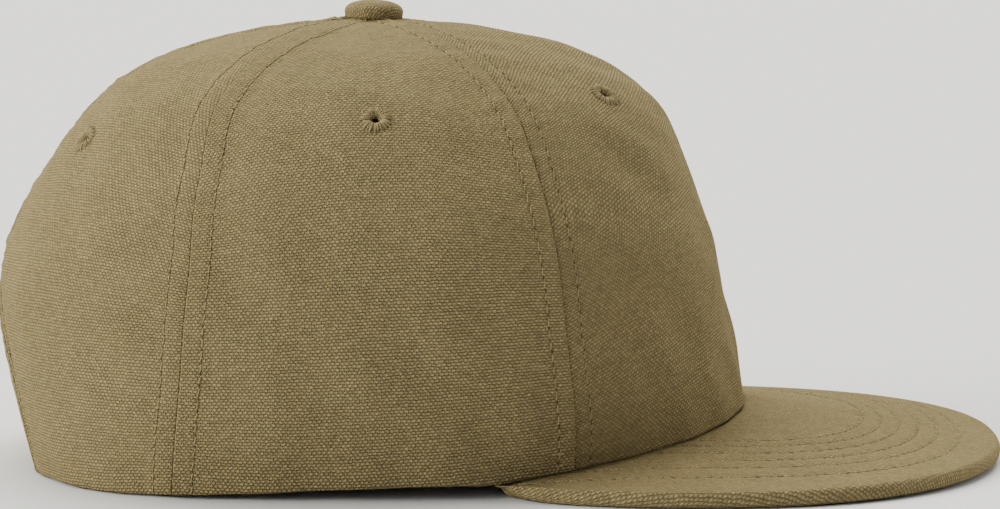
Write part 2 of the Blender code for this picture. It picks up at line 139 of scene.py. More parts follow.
class Ripple:
    """Soft irregular waves along one or two directions, the same each time for one seed."""

    def __init__(self, seed: int, shortest: float, longest: float, waves: int = 7) -> None:
        """Draw the waves.

        Args:
            seed: the seed of the draw.
            shortest: the shortest wavelength in metres.
            longest: the longest one.
            waves: how many there are.
        """
        draw = np.random.RandomState(seed)
        self.lengths = shortest * (longest / shortest) ** draw.random_sample(waves)
        self.turns = draw.random_sample(waves) * 2.0 * math.pi
        self.phases = draw.random_sample(waves) * 2.0 * math.pi
        self.scale = math.sqrt(2.0 / waves)

    def along(self, distance: Array) -> Array:
        """Return the waves at lengths along a line, about 1 high."""
        return sum(np.sin(2.0 * math.pi * distance / length + phase)
                   for length, phase in zip(self.lengths, self.phases)) * self.scale

    def over(self, u: Array, v: Array) -> Array:
        """Return the waves over a surface, at lengths both ways, about 1 high."""
        ways = (u * math.cos(turn) + v * math.sin(turn) for turn in self.turns)
        return sum(np.sin(2.0 * math.pi * way / length + phase)
                   for way, length, phase in zip(ways, self.lengths, self.phases)) * self.scale


@dataclass(frozen=True)
class Section:
    """One level of the crown: lengths are shares of the crown's sizes, seams are azimuths."""

    rise: float
    front: float
    back: float
    side: float
    front_square: float
    back_square: float
    front_seam: float
    rear_seam: float


SECTIONS = (
    Section(0.000, 1.022, 0.894, 0.970, 2.10, 2.90, 53.5, 121.9),
    Section(0.130, 1.002, 0.941, 0.990, 2.15, 2.55, 53.5, 121.1),
    Section(0.260, 0.972, 0.976, 1.000, 2.20, 2.30, 54.5, 120.3),
    Section(0.385, 0.942, 0.990, 0.998, 2.25, 2.20, 55.5, 119.8),
    Section(0.500, 0.910, 0.967, 0.978, 2.30, 2.10, 56.0, 119.8),
    Section(0.610, 0.868, 0.911, 0.926, 2.30, 2.05, 56.0, 121.2),
    Section(0.715, 0.831, 0.838, 0.835, 2.25, 2.00, 55.5, 123.3),
    Section(0.812, 0.768, 0.747, 0.725, 2.15, 2.00, 54.5, 126.3),
    Section(0.890, 0.655, 0.620, 0.575, 2.05, 2.00, 53.5, 128.3),
    Section(0.945, 0.500, 0.458, 0.410, 2.00, 2.00, 53.0, 129.5),
    Section(0.980, 0.312, 0.275, 0.240, 2.00, 2.00, 52.5, 130.5),
    Section(0.996, 0.124, 0.110, 0.100, 2.00, 2.00, 52.0, 131.0),
    Section(1.000, 0.000, 0.000, 0.000, 2.00, 2.00, 52.0, 131.0),
)


@dataclass(frozen=True)
class Fold:
    """A soft ridge or hollow: its depth is a share of the crown's front."""

    azimuth: float
    share: float
    spread_azimuth: float
    spread_share: float
    depth: float


FOLDS = (
    Fold(24.0, 0.52, 9.0, 0.17, 0.012),
    Fold(0.0, 0.56, 10.0, 0.13, -0.010),
    Fold(36.0, 0.22, 12.0, 0.10, -0.012),
    Fold(20.0, 0.34, 14.0, 0.10, 0.007),
    Fold(78.0, 0.46, 16.0, 0.07, -0.006),
    Fold(180.0, 0.34, 4.0, 0.09, 0.005),
    Fold(167.0, 0.34, 7.0, 0.12, -0.010),
    Fold(180.0, 0.66, 9.0, 0.24, -0.003),
    Fold(180.0, 0.52, 9.0, 0.12, -0.012),
    Fold(53.0, 0.86, 7.0, 0.12, 0.008),
)


@dataclass(frozen=True)
class BrimForm:
    """The brim's outline and the height of its faces."""

    middle: float = 84.0 * MM
    reach: float = 85.0 * MM
    rear: float = 84.5 * MM
    half_width: float = 93.5 * MM
    square: float = 2.2
    thickness: float = 4.0 * MM
    edge_round: float = 1.5 * MM
    edge_flat: float = 0.4 * MM
    join: float = 10.0 * MM
    seam_crest: float = 14.8 * MM
    seam_drop: float = 12.2 * MM
    seam_bend: float = 1.25
    tip_lift: float = 1.0 * MM
    tip_spread: float = 0.65
    arch: float = 0.95
    corner_drop: float = 0.50 * MM
    corner_spread: float = 5.5 * MM

    def outline(self, turn: Array) -> Array:
        """Return plan points of the outer edge.

        Args:
            turn: angles round the brim's middle, 0 at its front.

        Returns:
            The x and y of each point.
        """
        forward = np.cos(turn)
        sideways = np.sin(turn)
        reach = np.where(forward >= 0.0, self.reach, self.rear)
        spread = np.abs(forward / reach) ** self.square + np.abs(sideways / self.half_width) ** self.square
        radius = spread ** (-1.0 / self.square)
        return np.stack([-radius * sideways, -self.middle - radius * forward], -1)


@dataclass(frozen=True)
class CrownForm:
    """The crown's outer face, its rim and the brim's faces round it."""

    height: float = 116.6 * MM
    front: float = 100.5 * MM
    back: float = 100.5 * MM
    half_width: float = 84.0 * MM
    cloth: float = 1.5 * MM
    gap: float = 0.3 * MM
    rim_lift: float = 3.4 * MM
    rim_lift_from: float = 75.0 * MM
    rim_lift_over: float = 105.0 * MM
    post_radius: float = 2.2 * MM
    probe_azimuth: float = 0.2
    probe_share: float = 0.002
    smallest: float = 0.01 * MM
    fine_steps: int = 1600
    corner_from: float = 0.5 * math.pi
    corner_until: float = 0.95 * math.pi
    rim_steps: int = 1440
    rim_rounds: int = 6
    top_steps: int = 180
    top_from: float = 0.9
    halvings: int = 40
    brim: BrimForm = field(default_factory=BrimForm)

    @cached_property
    def curves(self) -> dict[str, Curve]:
        """Return a smooth curve for each column of the sections."""
        names = Section.__dataclass_fields__
        return {name: Curve((getattr(row, name) for row in SECTIONS), name == "rise") for name in names}

    @cached_property
    def fine(self) -> tuple[Array, Array]:
        """Return fine shares up the crown and the rise at each."""
        shares = np.linspace(0.0, 1.0, self.fine_steps + 1)
        return shares, self.curves["rise"](shares)

    def share_at(self, height: Array | float) -> Array:
        """Return the share up the crown at a height."""
        shares, rises = self.fine
        return np.interp(height / self.height, rises, shares)

    def radius(self, azimuth: Array, share: Array) -> Array:
        """Measure the outer face.

        Args:
            azimuth: angles round the crown in degrees.
            share: shares up the crown.

        Returns:
            The distance of each point from the crown's upright axis.
        """
        angle = np.radians(azimuth)
        forward = np.cos(angle)
        sideways = np.sin(angle)
        ahead = forward >= 0.0
        curves = self.curves
        reach = np.where(ahead, self.front * curves["front"](share), self.back * curves["back"](share))
        width = self.half_width * curves["side"](share)
        square = np.where(ahead, curves["front_square"](share), curves["back_square"](share))
        reach = np.maximum(reach, self.smallest)
        width = np.maximum(width, self.smallest)
        spread = np.abs(forward / reach) ** square + np.abs(sideways / width) ** square
        depth = np.zeros_like(spread)
        from_front = np.degrees(np.arccos(forward))
        for fold in FOLDS:
            across = (from_front - fold.azimuth) / fold.spread_azimuth
            upward = (share - fold.share) / fold.spread_share
            depth += fold.depth * np.exp(-across * across - upward * upward)
        return spread ** (-1.0 / square) + depth * self.front

    def point(self, azimuth: Array, share: Array) -> Array:
        """Return points of the outer face.

        Args:
            azimuth: angles round the crown in degrees.
            share: shares up the crown, one for each angle.

        Returns:
            An array whose last side holds x, y and z.
        """
        azimuth, share = np.broadcast_arrays(np.asarray(azimuth, float), np.asarray(share, float))
        angle = np.radians(azimuth)
        radius = self.radius(azimuth, share)
        height = self.height * self.curves["rise"](share)
        return np.stack([-radius * np.sin(angle), -radius * np.cos(angle), height], -1)

    def normal(self, azimuth: Array, share: Array) -> Array:
        """Return the face's normals.

        Args:
            azimuth: angles round the crown in degrees.
            share: shares up the crown.

        Returns:
            The outward direction at each point.
        """
        azimuth, share = np.broadcast_arrays(np.asarray(azimuth, float), np.asarray(share, float))
        low = np.maximum(share - self.probe_share, 0.0)
        high = np.minimum(share + self.probe_share, 1.0 - self.probe_share)
        ahead = self.point(azimuth + self.probe_azimuth, share)
        around = ahead - self.point(azimuth - self.probe_azimuth, share)
        upward = self.point(azimuth, high) - self.point(azimuth, low)
        return unit(np.cross(upward, around))

    def seam_radius(self, azimuth: Array) -> Array:
        """Return how far the crown's seam with the brim lies from the upright axis."""
        share = np.full_like(np.asarray(azimuth, float), 0.5 * self.share_at(self.brim.seam_crest))
        return self.radius(azimuth, share)

    @cached_property
    def brim_edge(self) -> tuple[float, Array, Array, Array]:
        """Measure the brim's edge.

        Returns:
            The turn of its rear corner, and the points, azimuths and radii from the front to there.
        """
        turns = np.linspace(self.corner_from, self.corner_until, self.fine_steps)
        points = self.brim.outline(turns)
        azimuths = azimuth_of(points[:, 0], points[:, 1])
        outside = np.linalg.norm(points, axis=-1) > self.seam_radius(azimuths)
        corner = float(turns[np.argmin(outside)])
        points = self.brim.outline(np.linspace(0.0, corner, self.fine_steps + 1))
        azimuths = azimuth_of(points[:, 0], points[:, 1])
        return corner, points, azimuths, np.linalg.norm(points, axis=-1)

    @property
    def corner_azimuth(self) -> float:
        """Return the azimuth of the brim's rear corner."""
        return float(self.brim_edge[2][-1])

    def brim_top(self, x: Array, y: Array) -> Array:
        """Return the height of the brim's upper face.

        Args:
            x: places to the wearer's left.
            y: places to the back.

        Returns:
            The height over each place; it falls from the crown to the brim's edge.
        """
        brim = self.brim
        _, _, azimuths, radii = self.brim_edge
        azimuth = np.minimum(np.abs(azimuth_of(x, y)), self.corner_azimuth)
        share = azimuth / self.corner_azimuth
        seam = brim.seam_crest - brim.seam_drop * share ** brim.seam_bend
        edge = brim.thickness + brim.tip_lift * (1.0 - ease(share / brim.tip_spread))
        inner = self.seam_radius(azimuth) - self.cloth
        outer = np.interp(azimuth, azimuths, radii)
        outward = np.clip((np.hypot(x, y) - inner) / (outer - inner), 0.0, 1.0)
        corner = self.brim_edge[1][-1]
        away = np.hypot(np.abs(x) - abs(corner[0]), y - corner[1])
        fall = (seam - edge) * (1.0 - outward) ** brim.arch
        return edge + fall - brim.corner_drop * bell(away, brim.corner_spread)

    def rim_height(self, x: Array, y: Array) -> Array:
        """Return the height of the crown's lower edge.

        Args:
            x: places to the wearer's left.
            y: places to the back.

        Returns:
            The height over each place.
        """
        corner = self.brim_edge[1][-1]
        lift = self.rim_lift * ease((self.rim_lift_from - y) / self.rim_lift_over)
        on_brim = ease((corner[1] + self.brim.join - y) / (self.brim.join - self.gap))
        return lift + (self.brim_top(x, y) + self.gap - lift) * on_brim

    @cached_property
    def rim_table(self) -> tuple[Array, Array]:
        """Find the rim.

        Returns:
            Azimuths round one side, and the share at which the rim lies at each.
        """
        azimuths = np.linspace(0.0, 180.0, self.rim_steps + 1)
        share = np.zeros_like(azimuths)
        for _ in range(self.rim_rounds):
            points = self.point(azimuths, share)
            share = self.share_at(self.rim_height(points[..., 0], points[..., 1]))
        return azimuths, share

    def rim_share(self, azimuth: Array) -> Array:
        """Return the share up the crown at which its lower edge lies."""
        return np.interp(np.abs(azimuth), *self.rim_table)

    @cached_property
    def top_table(self) -> tuple[Array, Array]:
        """Find where the panels end under the button.

        Returns:
            Azimuths round one side, and the share at which a panel ends at each.
        """
        azimuths = np.linspace(0.0, 180.0, self.top_steps + 1)
        low = np.full_like(azimuths, self.top_from)
        high = np.ones_like(azimuths)
        for _ in range(self.halvings):
            middle = 0.5 * (low + high)
            outside = self.radius(azimuths, middle) > self.post_radius + self.gap
            low = np.where(outside, middle, low)
            high = np.where(outside, high, middle)
        return azimuths, low

    def top_share(self, azimuth: Array) -> Array:
        """Return the share up the crown at which a panel ends round the button's post."""
        return np.interp(np.abs(azimuth), *self.top_table)


class NodeMaker:
    """Adds shader nodes to one material."""

    def __init__(self, name: str) -> None:
        """Make the material with its one shader.

        Args:
            name: the material's name.
        """
        self.material = bpy.data.materials.new(name)
        self.material.use_nodes = True
        self.tree = self.material.node_tree
        self.shader = self.tree.nodes["Principled BSDF"]

    def add(self, kind: str, inputs: dict[str | int, object] | None = None,
            **settings: object) -> bpy.types.Node:
        """Add a node.

        Args:
            kind: the node's type.
            inputs: for each socket, an output to link or a value to set.
            **settings: the node's own settings.

        Returns:
            The new node.
        """
        node = self.tree.nodes.new(kind)
        for name, value in settings.items():
            setattr(node, name, value)
        for socket, value in (inputs or {}).items():
            self.feed(node.inputs[socket], value)
        return node

    def feed(self, socket: Socket, value: object) -> None:
        """Link an output to a socket, or set the socket's value."""
        if isinstance(value, Socket):
            self.tree.links.new(value, socket)
        else:
            socket.default_value = value

    def math(self, operation: str, *values: object) -> Socket:
        """Return the output of a sum or other operation on up to three values."""
        return self.add("ShaderNodeMath", dict(enumerate(values)), operation=operation).outputs[0]

    def mix(self, factor: object, first: object, second: object, blend: str = "MIX") -> Socket:
        """Return the mix of two colours, which the node takes at its inputs 6 and 7."""
        inputs = {0: factor, 6: first, 7: second}
        return self.add("ShaderNodeMix", inputs, data_type="RGBA", blend_type=blend).outputs[2]

    def vector(self, operation: str, inputs: dict[str | int, object]) -> Socket:
        """Return the output of an operation on vectors."""
        return self.add("ShaderNodeVectorMath", inputs, operation=operation).outputs[0]

    def spread(self, value: object, low: float, high: float, new_low: float, new_high: float) -> Socket:
        """Return a value moved from one range to another and held there."""
        values = (value, low, high, new_low, new_high)
        return self.add("ShaderNodeMapRange", dict(enumerate(values))).outputs[0]

    def noise(self, place: object, scale: float, detail: float = 2.0) -> Socket:
        """Return soft noise from 0 to 1 over a place."""
        inputs = {"Vector": place, "Scale": scale, "Detail": detail}
        return self.add("ShaderNodeTexNoise", inputs).outputs["Fac"]

    def finish(self, **values: object) -> Material:
        """Set the shader's sockets, written with _ for a space, and return the material."""
        for name, value in values.items():
            self.feed(self.shader.inputs[name.replace("_", " ")], value)
        return self.material


@dataclass(frozen=True)
class CanvasFinish:
    """Plain-weave cotton duck: light knobs of thick weft over finer warp, with painted shade in the pits
    between the knobs.
    """

    name: str = "canvas"
    knob: Colour = (0.285, 0.227, 0.112, 1.0)
    # Painted shade: the colour of the pits between knobs, darker than the cloth itself.
    pit_shade: Colour = (0.068, 0.053, 0.024, 1.0)
    warp_pitch: float = 0.603 * MM
    weft_pitch: float = 0.805 * MM
    slow_scale: float = 95.0
    slow_reach: float = 0.5 * MM
    quick_scale: float = 900.0
    quick_reach: float = 0.6 * MM
    crossing: float = 0.50
    row_power: float = 2.6
    corner_height: float = 0.38
    lit_from: float = 0.95
    dimmest: float = 0.86
    brightest: float = 1.13
    stain_scale: float = 42.0
    fade: float = 0.03
    fuzz_scale: float = 4200.0
    fuzz: float = 0.45
    relief: float = 0.44 * MM
    relief_strength: float = 1.0
    roughness: float = 0.92
    gloss: float = 0.06
    sheen: float = 0.05
    sheen_roughness: float = 0.5
    sheen_tint: Colour = (0.80, 0.62, 0.26, 1.0)

    def build(self) -> Material:
        """Make the material, which reads the pieces' own cloth map in metres.

        Returns:
            The material.
        """
        make = NodeMaker(self.name)
        cloth = make.add("ShaderNodeUVMap", uv_map=CLOTH_UV).outputs["UV"]
        place = make.add("ShaderNodeSeparateXYZ", {0: self.strayed(make, cloth)})
        across = make.math("DIVIDE", place.outputs[0], self.warp_pitch)
        upward = make.math("DIVIDE", place.outputs[1], self.weft_pitch)
        row = make.math("ROUND", upward)
        height = self.weave(make, upward, row, across)
        # Below lit_from the colour darkens towards the pits' colour: painted shade in the hollows of the
        # weave, which the bump alone can't shadow.
        colour = make.mix(make.spread(height, 0.0, self.lit_from, 0.0, 1.0), self.pit_shade, self.knob)
        light = self.light(make, row, across)
        tint = make.add("ShaderNodeCombineColor", {0: light, 1: light, 2: light}).outputs[0]
        colour = make.mix(1.0, colour, tint, "MULTIPLY")
        fuzz = make.noise(cloth, self.fuzz_scale, 2.0)
        level = make.math("ADD", height, make.math("MULTIPLY", fuzz, self.fuzz))
        bump = make.add("ShaderNodeBump", {"Height": level, "Strength": self.relief_strength,
                                           "Distance": self.relief})
        return make.finish(Base_Color=colour, Normal=bump.outputs[0], Roughness=self.roughness,
                           Sheen_Weight=self.sheen, Sheen_Roughness=self.sheen_roughness,
                           Sheen_Tint=self.sheen_tint, Specular_IOR_Level=self.gloss)

    def strayed(self, make: NodeMaker, cloth: Socket) -> Socket:
        """Let the yarns stray a little from their straight lines.

        Args:
            make: the material's node maker.
            cloth: the cloth map.

        Returns:
            The moved map.
        """
        slow = make.add("ShaderNodeTexNoise", {"Vector": cloth, "Scale": self.slow_scale, "Detail": 2.0})
        quick = make.add("ShaderNodeTexNoise", {"Vector": cloth, "Scale": self.quick_scale, "Detail": 1.0})
        slow_shift = self.shifted(make, slow.outputs["Color"], self.slow_reach)
        quick_shift = self.shifted(make, quick.outputs["Color"], self.quick_reach)
        return make.vector("ADD", {0: make.vector("ADD", {0: slow_shift, 1: quick_shift}), 1: cloth})

    def shifted(self, make: NodeMaker, colour: Socket, reach: float) -> Socket:
        """Return a noise colour turned into a shift of up to about half a reach each way."""
        centred = make.vector("SUBTRACT", {0: colour, 1: (0.5, 0.5, 0.5)})
        return make.vector("SCALE", {0: centred, "Scale": reach})

    def light(self, make: NodeMaker, row: Socket, across: Socket) -> Socket:
        """Make some knobs lighter than others, and some patches of the cloth.

        Args:
            make: the material's node maker.
            row: the number of the nearest weft yarn.
            across: the place along the weft, in pitches of the warp.

        Returns:
            What the colour is multiplied by.
        """
        knob = make.math("ROUND", make.math("MULTIPLY", make.math("ADD", across, row), 0.5))
        spot = {"Vector": make.add("ShaderNodeCombineXYZ", {0: knob, 1: row}).outputs[0]}
        chance = make.add("ShaderNodeTexWhiteNoise", spot, noise_dimensions="2D").outputs["Value"]
        stain = make.noise(make.add("ShaderNodeTexCoord").outputs["Object"], self.stain_scale, 3.0)
        light = make.spread(chance, 0.0, 1.0, self.dimmest, self.brightest)
        patch = make.spread(stain, 0.3, 0.7, 1.0 - self.fade, 1.0 + self.fade)
        return make.math("MULTIPLY", light, patch)

    def weave(self, make: NodeMaker, upward: Socket, row: Socket, across: Socket) -> Socket:
        """Weave the cloth.

        Args:
            make: the material's node maker.
            upward: the place across the weft, in its pitches.
            row: the number of the nearest weft yarn.
            across: the place along the weft, in pitches of the warp.

        Returns:
            The height, from 0 in a pit to 1 on a knob.
        """
        off = make.math("ABSOLUTE", make.math("SUBTRACT", upward, row))
        body = make.math("SUBTRACT", 1.0, make.math("POWER", make.math("MULTIPLY", off, 2.0), self.row_power))
        turn = make.math("MULTIPLY", make.math("ADD", across, row), math.pi)
        half = 0.5 * (1.0 - self.crossing)
        along = make.math("MULTIPLY_ADD", make.math("COSINE", turn), half, self.crossing + half)
        middle = make.math("COSINE", make.math("MULTIPLY", turn, 2.0))
        corner = make.math("MULTIPLY_ADD", middle, -0.5 * self.corner_height, 0.5 * self.corner_height)
        below = make.math("MULTIPLY", make.math("SUBTRACT", 1.0, body), corner)
        return make.math("MULTIPLY_ADD", body, along, below)


@dataclass(frozen=True)
class ThreadFinish:
    """Sewing or embroidery thread in the canvas's colour, with fibres finer than the thread."""

    name: str
    colour: Colour
    dark: Colour
    strand_scale: float = 2600.0
    strand_share: float = 0.6
    length_scale: float = 240.0
    length_share: float = 0.4
    relief: float = 0.06 * MM
    relief_strength: float = 0.5
    roughness: float = 0.8
    gloss: float = 0.12

    def build(self) -> Material:
        """Make the material.

        Returns:
            The material.
        """
        make = NodeMaker(self.name)
        place = make.add("ShaderNodeTexCoord").outputs["Object"]
        strands = make.noise(place, self.strand_scale, 2.0)
        lengths = make.noise(place, self.length_scale, 1.0)
        share = make.math("MULTIPLY_ADD", strands, self.strand_share,
                          make.math("MULTIPLY", lengths, self.length_share))
        colour = make.mix(make.spread(share, 0.3, 0.7, 0.0, 1.0), self.dark, self.colour)
        bump = make.add("ShaderNodeBump", {"Height": strands, "Strength": self.relief_strength,
                                           "Distance": self.relief})
        return make.finish(Base_Color=colour, Normal=bump.outputs[0], Roughness=self.roughness,
                           Specular_IOR_Level=self.gloss)


@dataclass(frozen=True)
class MetalFinish:
    """Dull aged brass with worn, brighter patches."""

    name: str = "aged_brass"
    bright: Colour = (0.40, 0.31, 0.17, 1.0)
    dull: Colour = (0.25, 0.19, 0.10, 1.0)
    wear_scale: float = 160.0
    rough: float = 0.5
    worn_rough: float = 0.36
    relief: float = 0.03 * MM
    relief_strength: float = 0.15

    def build(self) -> Material:
        """Make the material.

        Returns:
            The material.
        """
        make = NodeMaker(self.name)
        wear = make.noise(make.add("ShaderNodeTexCoord").outputs["Object"], self.wear_scale, 3.0)
        colour = make.mix(make.spread(wear, 0.35, 0.65, 0.0, 1.0), self.dull, self.bright)
        rough = make.spread(wear, 0.3, 0.7, self.rough, self.worn_rough)
        bump = make.add("ShaderNodeBump", {"Height": wear, "Strength": self.relief_strength,
                                           "Distance": self.relief})
        return make.finish(Base_Color=colour, Normal=bump.outputs[0], Roughness=rough, Metallic=1.0)


@dataclass(frozen=True)
class PlainFinish:
    """A matt surface of one soft colour, for the floor and for the painted shade at needle holes."""

    name: str
    colour: Colour
    roughness: float = 0.95
    mottle: float = 0.04
    patch_scale: float = 30.0
    gloss: float = 0.1

    def build(self) -> Material:
        """Make the material.

        Returns:
            The material.
        """
        make = NodeMaker(self.name)
        patch = make.noise(make.add("ShaderNodeTexCoord").outputs["Object"], self.patch_scale, 2.0)
        darker = tuple(part * (1.0 - self.mottle) for part in self.colour[:3]) + (1.0,)
        colour = make.mix(patch, darker, self.colour)
        return make.finish(Base_Color=colour, Roughness=self.roughness, Specular_IOR_Level=self.gloss)


@dataclass(frozen=True)
class Wardrobe:
    """The finishes that the cap's pieces share."""

    canvas: Material
    fold: Material
    thread: Material
    embroidery: Material
    needle_hole: Material
    brass: Material

    @property
    def sewn(self) -> list[Material]:
        """Return the finishes of a row of stitches: its thread, and the painted shade at its needle holes."""
        return [self.thread, self.needle_hole]

    @classmethod
    def build(cls) -> Wardrobe:
        """Make every finish once."""
        return cls(
            canvas=CanvasFinish().build(),
            fold=ThreadFinish("canvas_fold", (0.285, 0.227, 0.112, 1.0),
                              (0.20, 0.16, 0.076, 1.0)).build(),
            thread=ThreadFinish("sewing_thread", (0.33, 0.268, 0.138, 1.0),
                                (0.19, 0.152, 0.073, 1.0)).build(),
            embroidery=ThreadFinish("eyelet_thread", (0.31, 0.25, 0.128, 1.0),
                                    (0.17, 0.136, 0.066, 1.0)).build(),
            # Painted shade: a near-black matt colour for the marks where needle holes would lie in shadow.
            needle_hole=PlainFinish("needle_hole", (0.068, 0.052, 0.023, 1.0)).build(),
            brass=MetalFinish().build(),
        )


def finish_piece(name: str, shape: Shape, materials: Iterable[Material], node: str = "",
                 sharp: float = 180.0) -> None:
    """Turn a bmesh into a piece that rides on the cap.

    Args:
        name: the piece's name.
        shape: the bmesh, which is freed.
        materials: its materials, in the order of its faces' material numbers.
        node: the CAD node that it stands for, which is hidden, if there is one.
        sharp: the angle in degrees past which an edge stays sharp.
    """
    bmesh.ops.recalc_face_normals(shape, faces=shape.faces)
    mesh = bpy.data.meshes.new(name)
    shape.to_mesh(mesh)
    shape.free()
    mesh.shade_smooth()
    if sharp < 180.0:
        mesh.set_sharp_from_angle(angle=math.radians(sharp))
    for material in materials:
        mesh.materials.append(material)
    piece = bpy.data.objects.new(name, mesh)
    bpy.context.collection.objects.link(piece)
    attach(piece, BODY)
    if node:
        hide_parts(node)
    LOG.info("%s: %d faces", name, len(mesh.polygons))


def unit_grid(shape: Shape, columns: int, rows: int) -> list[Corner]:
    """Add a grid over the unit square and return its corners."""
    return bmesh.ops.create_grid(shape, x_segments=columns, y_segments=rows, size=0.5,
                                 matrix=Matrix.Translation((0.5, 0.5, 0.0)))["verts"]


def spin_profile(shape: Shape, profile: Iterable[tuple[float, float]], steps: int, closed: bool) -> None:
    """Spin a profile once round the upright axis.

    Args:
        shape: where it is added.
        profile: its points, outward and upward.
        steps: the number of steps round.
        closed: whether its last point joins its first.
    """
    corners = [shape.verts.new((across, 0.0, upward)) for across, upward in profile]
    first = 0 if closed else 1
    edges = [shape.edges.new((corners[i - 1], corners[i])) for i in range(first, len(corners))]
    bmesh.ops.spin(shape, geom=corners + edges, cent=(0.0, 0.0, 0.0), axis=(0.0, 0.0, 1.0),
                   angle=2.0 * math.pi, steps=steps, use_merge=True, use_duplicate=False)


class ClothSheet:
    """A closed sheet of cloth made from a grid, whose corners are placed row by row."""

    def __init__(self, columns: int, rows: int, gone: Array | None = None) -> None:
        """Make the grid and its lining.

        Args:
            columns: the number of faces across.
            rows: the number of faces upward.
            gone: tells which faces fall out, by row and column.
        """
        self.columns = columns
        self.rows = rows
        self.shape = bmesh.new()
        unit_grid(self.shape, columns, rows)
        if gone is not None:
            middles = [(face, face.calc_center_median()) for face in self.shape.faces]
            holes = [face for face, spot in middles if gone[int(spot.y * rows), int(spot.x * columns)]]
            bmesh.ops.delete(self.shape, geom=holes, context="FACES")
        self.face_side = list(self.shape.verts)
        grown = bmesh.ops.extrude_face_region(self.shape, geom=list(self.shape.faces))
        self.lining_side = [item for item in grown["geom"] if isinstance(item, Corner)]
        self.face_places = self.places(self.face_side)
        self.lining_places = self.places(self.lining_side)

    def places(self, corners: list[Corner]) -> tuple[Array, Array]:
        """Return the row and the column of each corner."""
        flat = np.array([corner.co[:2] for corner in corners]) * (self.columns, self.rows)
        return tuple(np.rint(flat).astype(int).T[::-1])

    def place(self, face: Array, lining: Array, u: Array, v: Array) -> Shape:
        """Move the corners to their places and draw the cloth map.

        Args:
            face: the outer points, by row and column.
            lining: the inner points.
            u: the map's first coordinate in metres, by row and column.
            v: the map's second coordinate.

        Returns:
            The finished bmesh.
        """
        layer = self.shape.loops.layers.uv.new(CLOTH_UV)
        sides = ((self.face_side, self.face_places, face), (self.lining_side, self.lining_places, lining))
        for corners, places, points in sides:
            for corner, row, column in zip(corners, *places):
                corner.co = points[row, column]
                drawn = (u[row, column], v[row, column])
                for loop in corner.link_loops:
                    loop[layer].uv = drawn
        return self.shape

    def dress(self, marked: Array, material: int) -> None:
        """Give a material to the outer faces whose corners are all marked.

        Args:
            marked: the marks, by row and column.
            material: the material's number.
        """
        spots = dict(zip(self.face_side, zip(*self.face_places)))
        for face in self.shape.faces:
            corners = [marked[spots[corner]] for corner in face.verts if corner in spots]
            if corners and all(corners):
                face.material_index = material

    def wrap(self, drawn: Array, first_row: int) -> None:
        """Carry the face's cloth map on round the last rows of the lining.

        Args:
            drawn: the map's points for the lining, by row and column.
            first_row: the row from which the lining takes them.
        """
        layer = self.shape.loops.layers.uv[CLOTH_UV]
        spots = dict(zip(self.lining_side, zip(*self.lining_places)))
        fronts = dict(zip(self.face_side, zip(*self.face_places)))
        for face in self.shape.faces:
            rows = [(spots.get(corner) or fronts[corner])[0] for corner in face.verts]
            if min(rows) < first_row:
                continue
            for loop in face.loops:
                if loop.vert in spots:
                    loop[layer].uv = drawn[spots[loop.vert]]


def packed_ends(count: int, packing: float) -> Array:
    """Return shares from 0 to 1 that lie closer together towards both ends."""
    even = np.linspace(0.0, 1.0, count + 1)
    return even - packing * np.sin(2.0 * math.pi * even) / (2.0 * math.pi)


def packed_start(count: int, packing: float) -> Array:
    """Return shares from 0 to 1 that lie closer together towards the start."""
    even = np.linspace(0.0, 1.0, count + 1)
    return even * (1.0 - packing + packing * even)


def unit(vectors: Array) -> Array:
    """Return vectors made 1 long."""
    return vectors / np.linalg.norm(vectors, axis=-1, keepdims=True)


def run_length(points: Array, axis: int) -> Array:
    """Return the length along lines of points, from 0 at the first of each, along one axis."""
    steps = np.linalg.norm(np.diff(points, axis=axis), axis=-1)
    return np.concatenate([0.0 * np.take(steps, [0], axis=axis), np.cumsum(steps, axis=axis)], axis=axis)


class Path:
    """A line over a surface, with the surface's normals, read by length."""

    probe = 0.3 * MM

    def __init__(self, points: Array, normals: Array) -> None:
        """Measure the line.

        Args:
            points: its points.
            normals: the surface's normals there.
        """
        self.points = points
        self.normals = normals
        self.lengths = run_length(points, 0)
        self.whole = float(self.lengths[-1])

    def at(self, lengths: Array) -> tuple[Array, Array, Array]:
        """Read the line.

        Args:
            lengths: places along the line.

        Returns:
            The points, the normals and the sideways directions.
        """
        def read(values: Array, places: Array) -> Array:
            """Read each coordinate at places along the line."""
            return np.stack([np.interp(places, self.lengths, values[:, i]) for i in range(3)], -1)

        points = read(self.points, lengths)
        normals = read(self.normals, lengths)
        ahead = read(self.points, np.minimum(lengths + self.probe, self.whole))
        behind = read(self.points, np.maximum(lengths - self.probe, 0.0))
        return points, unit(normals), unit(np.cross(ahead - behind, normals))


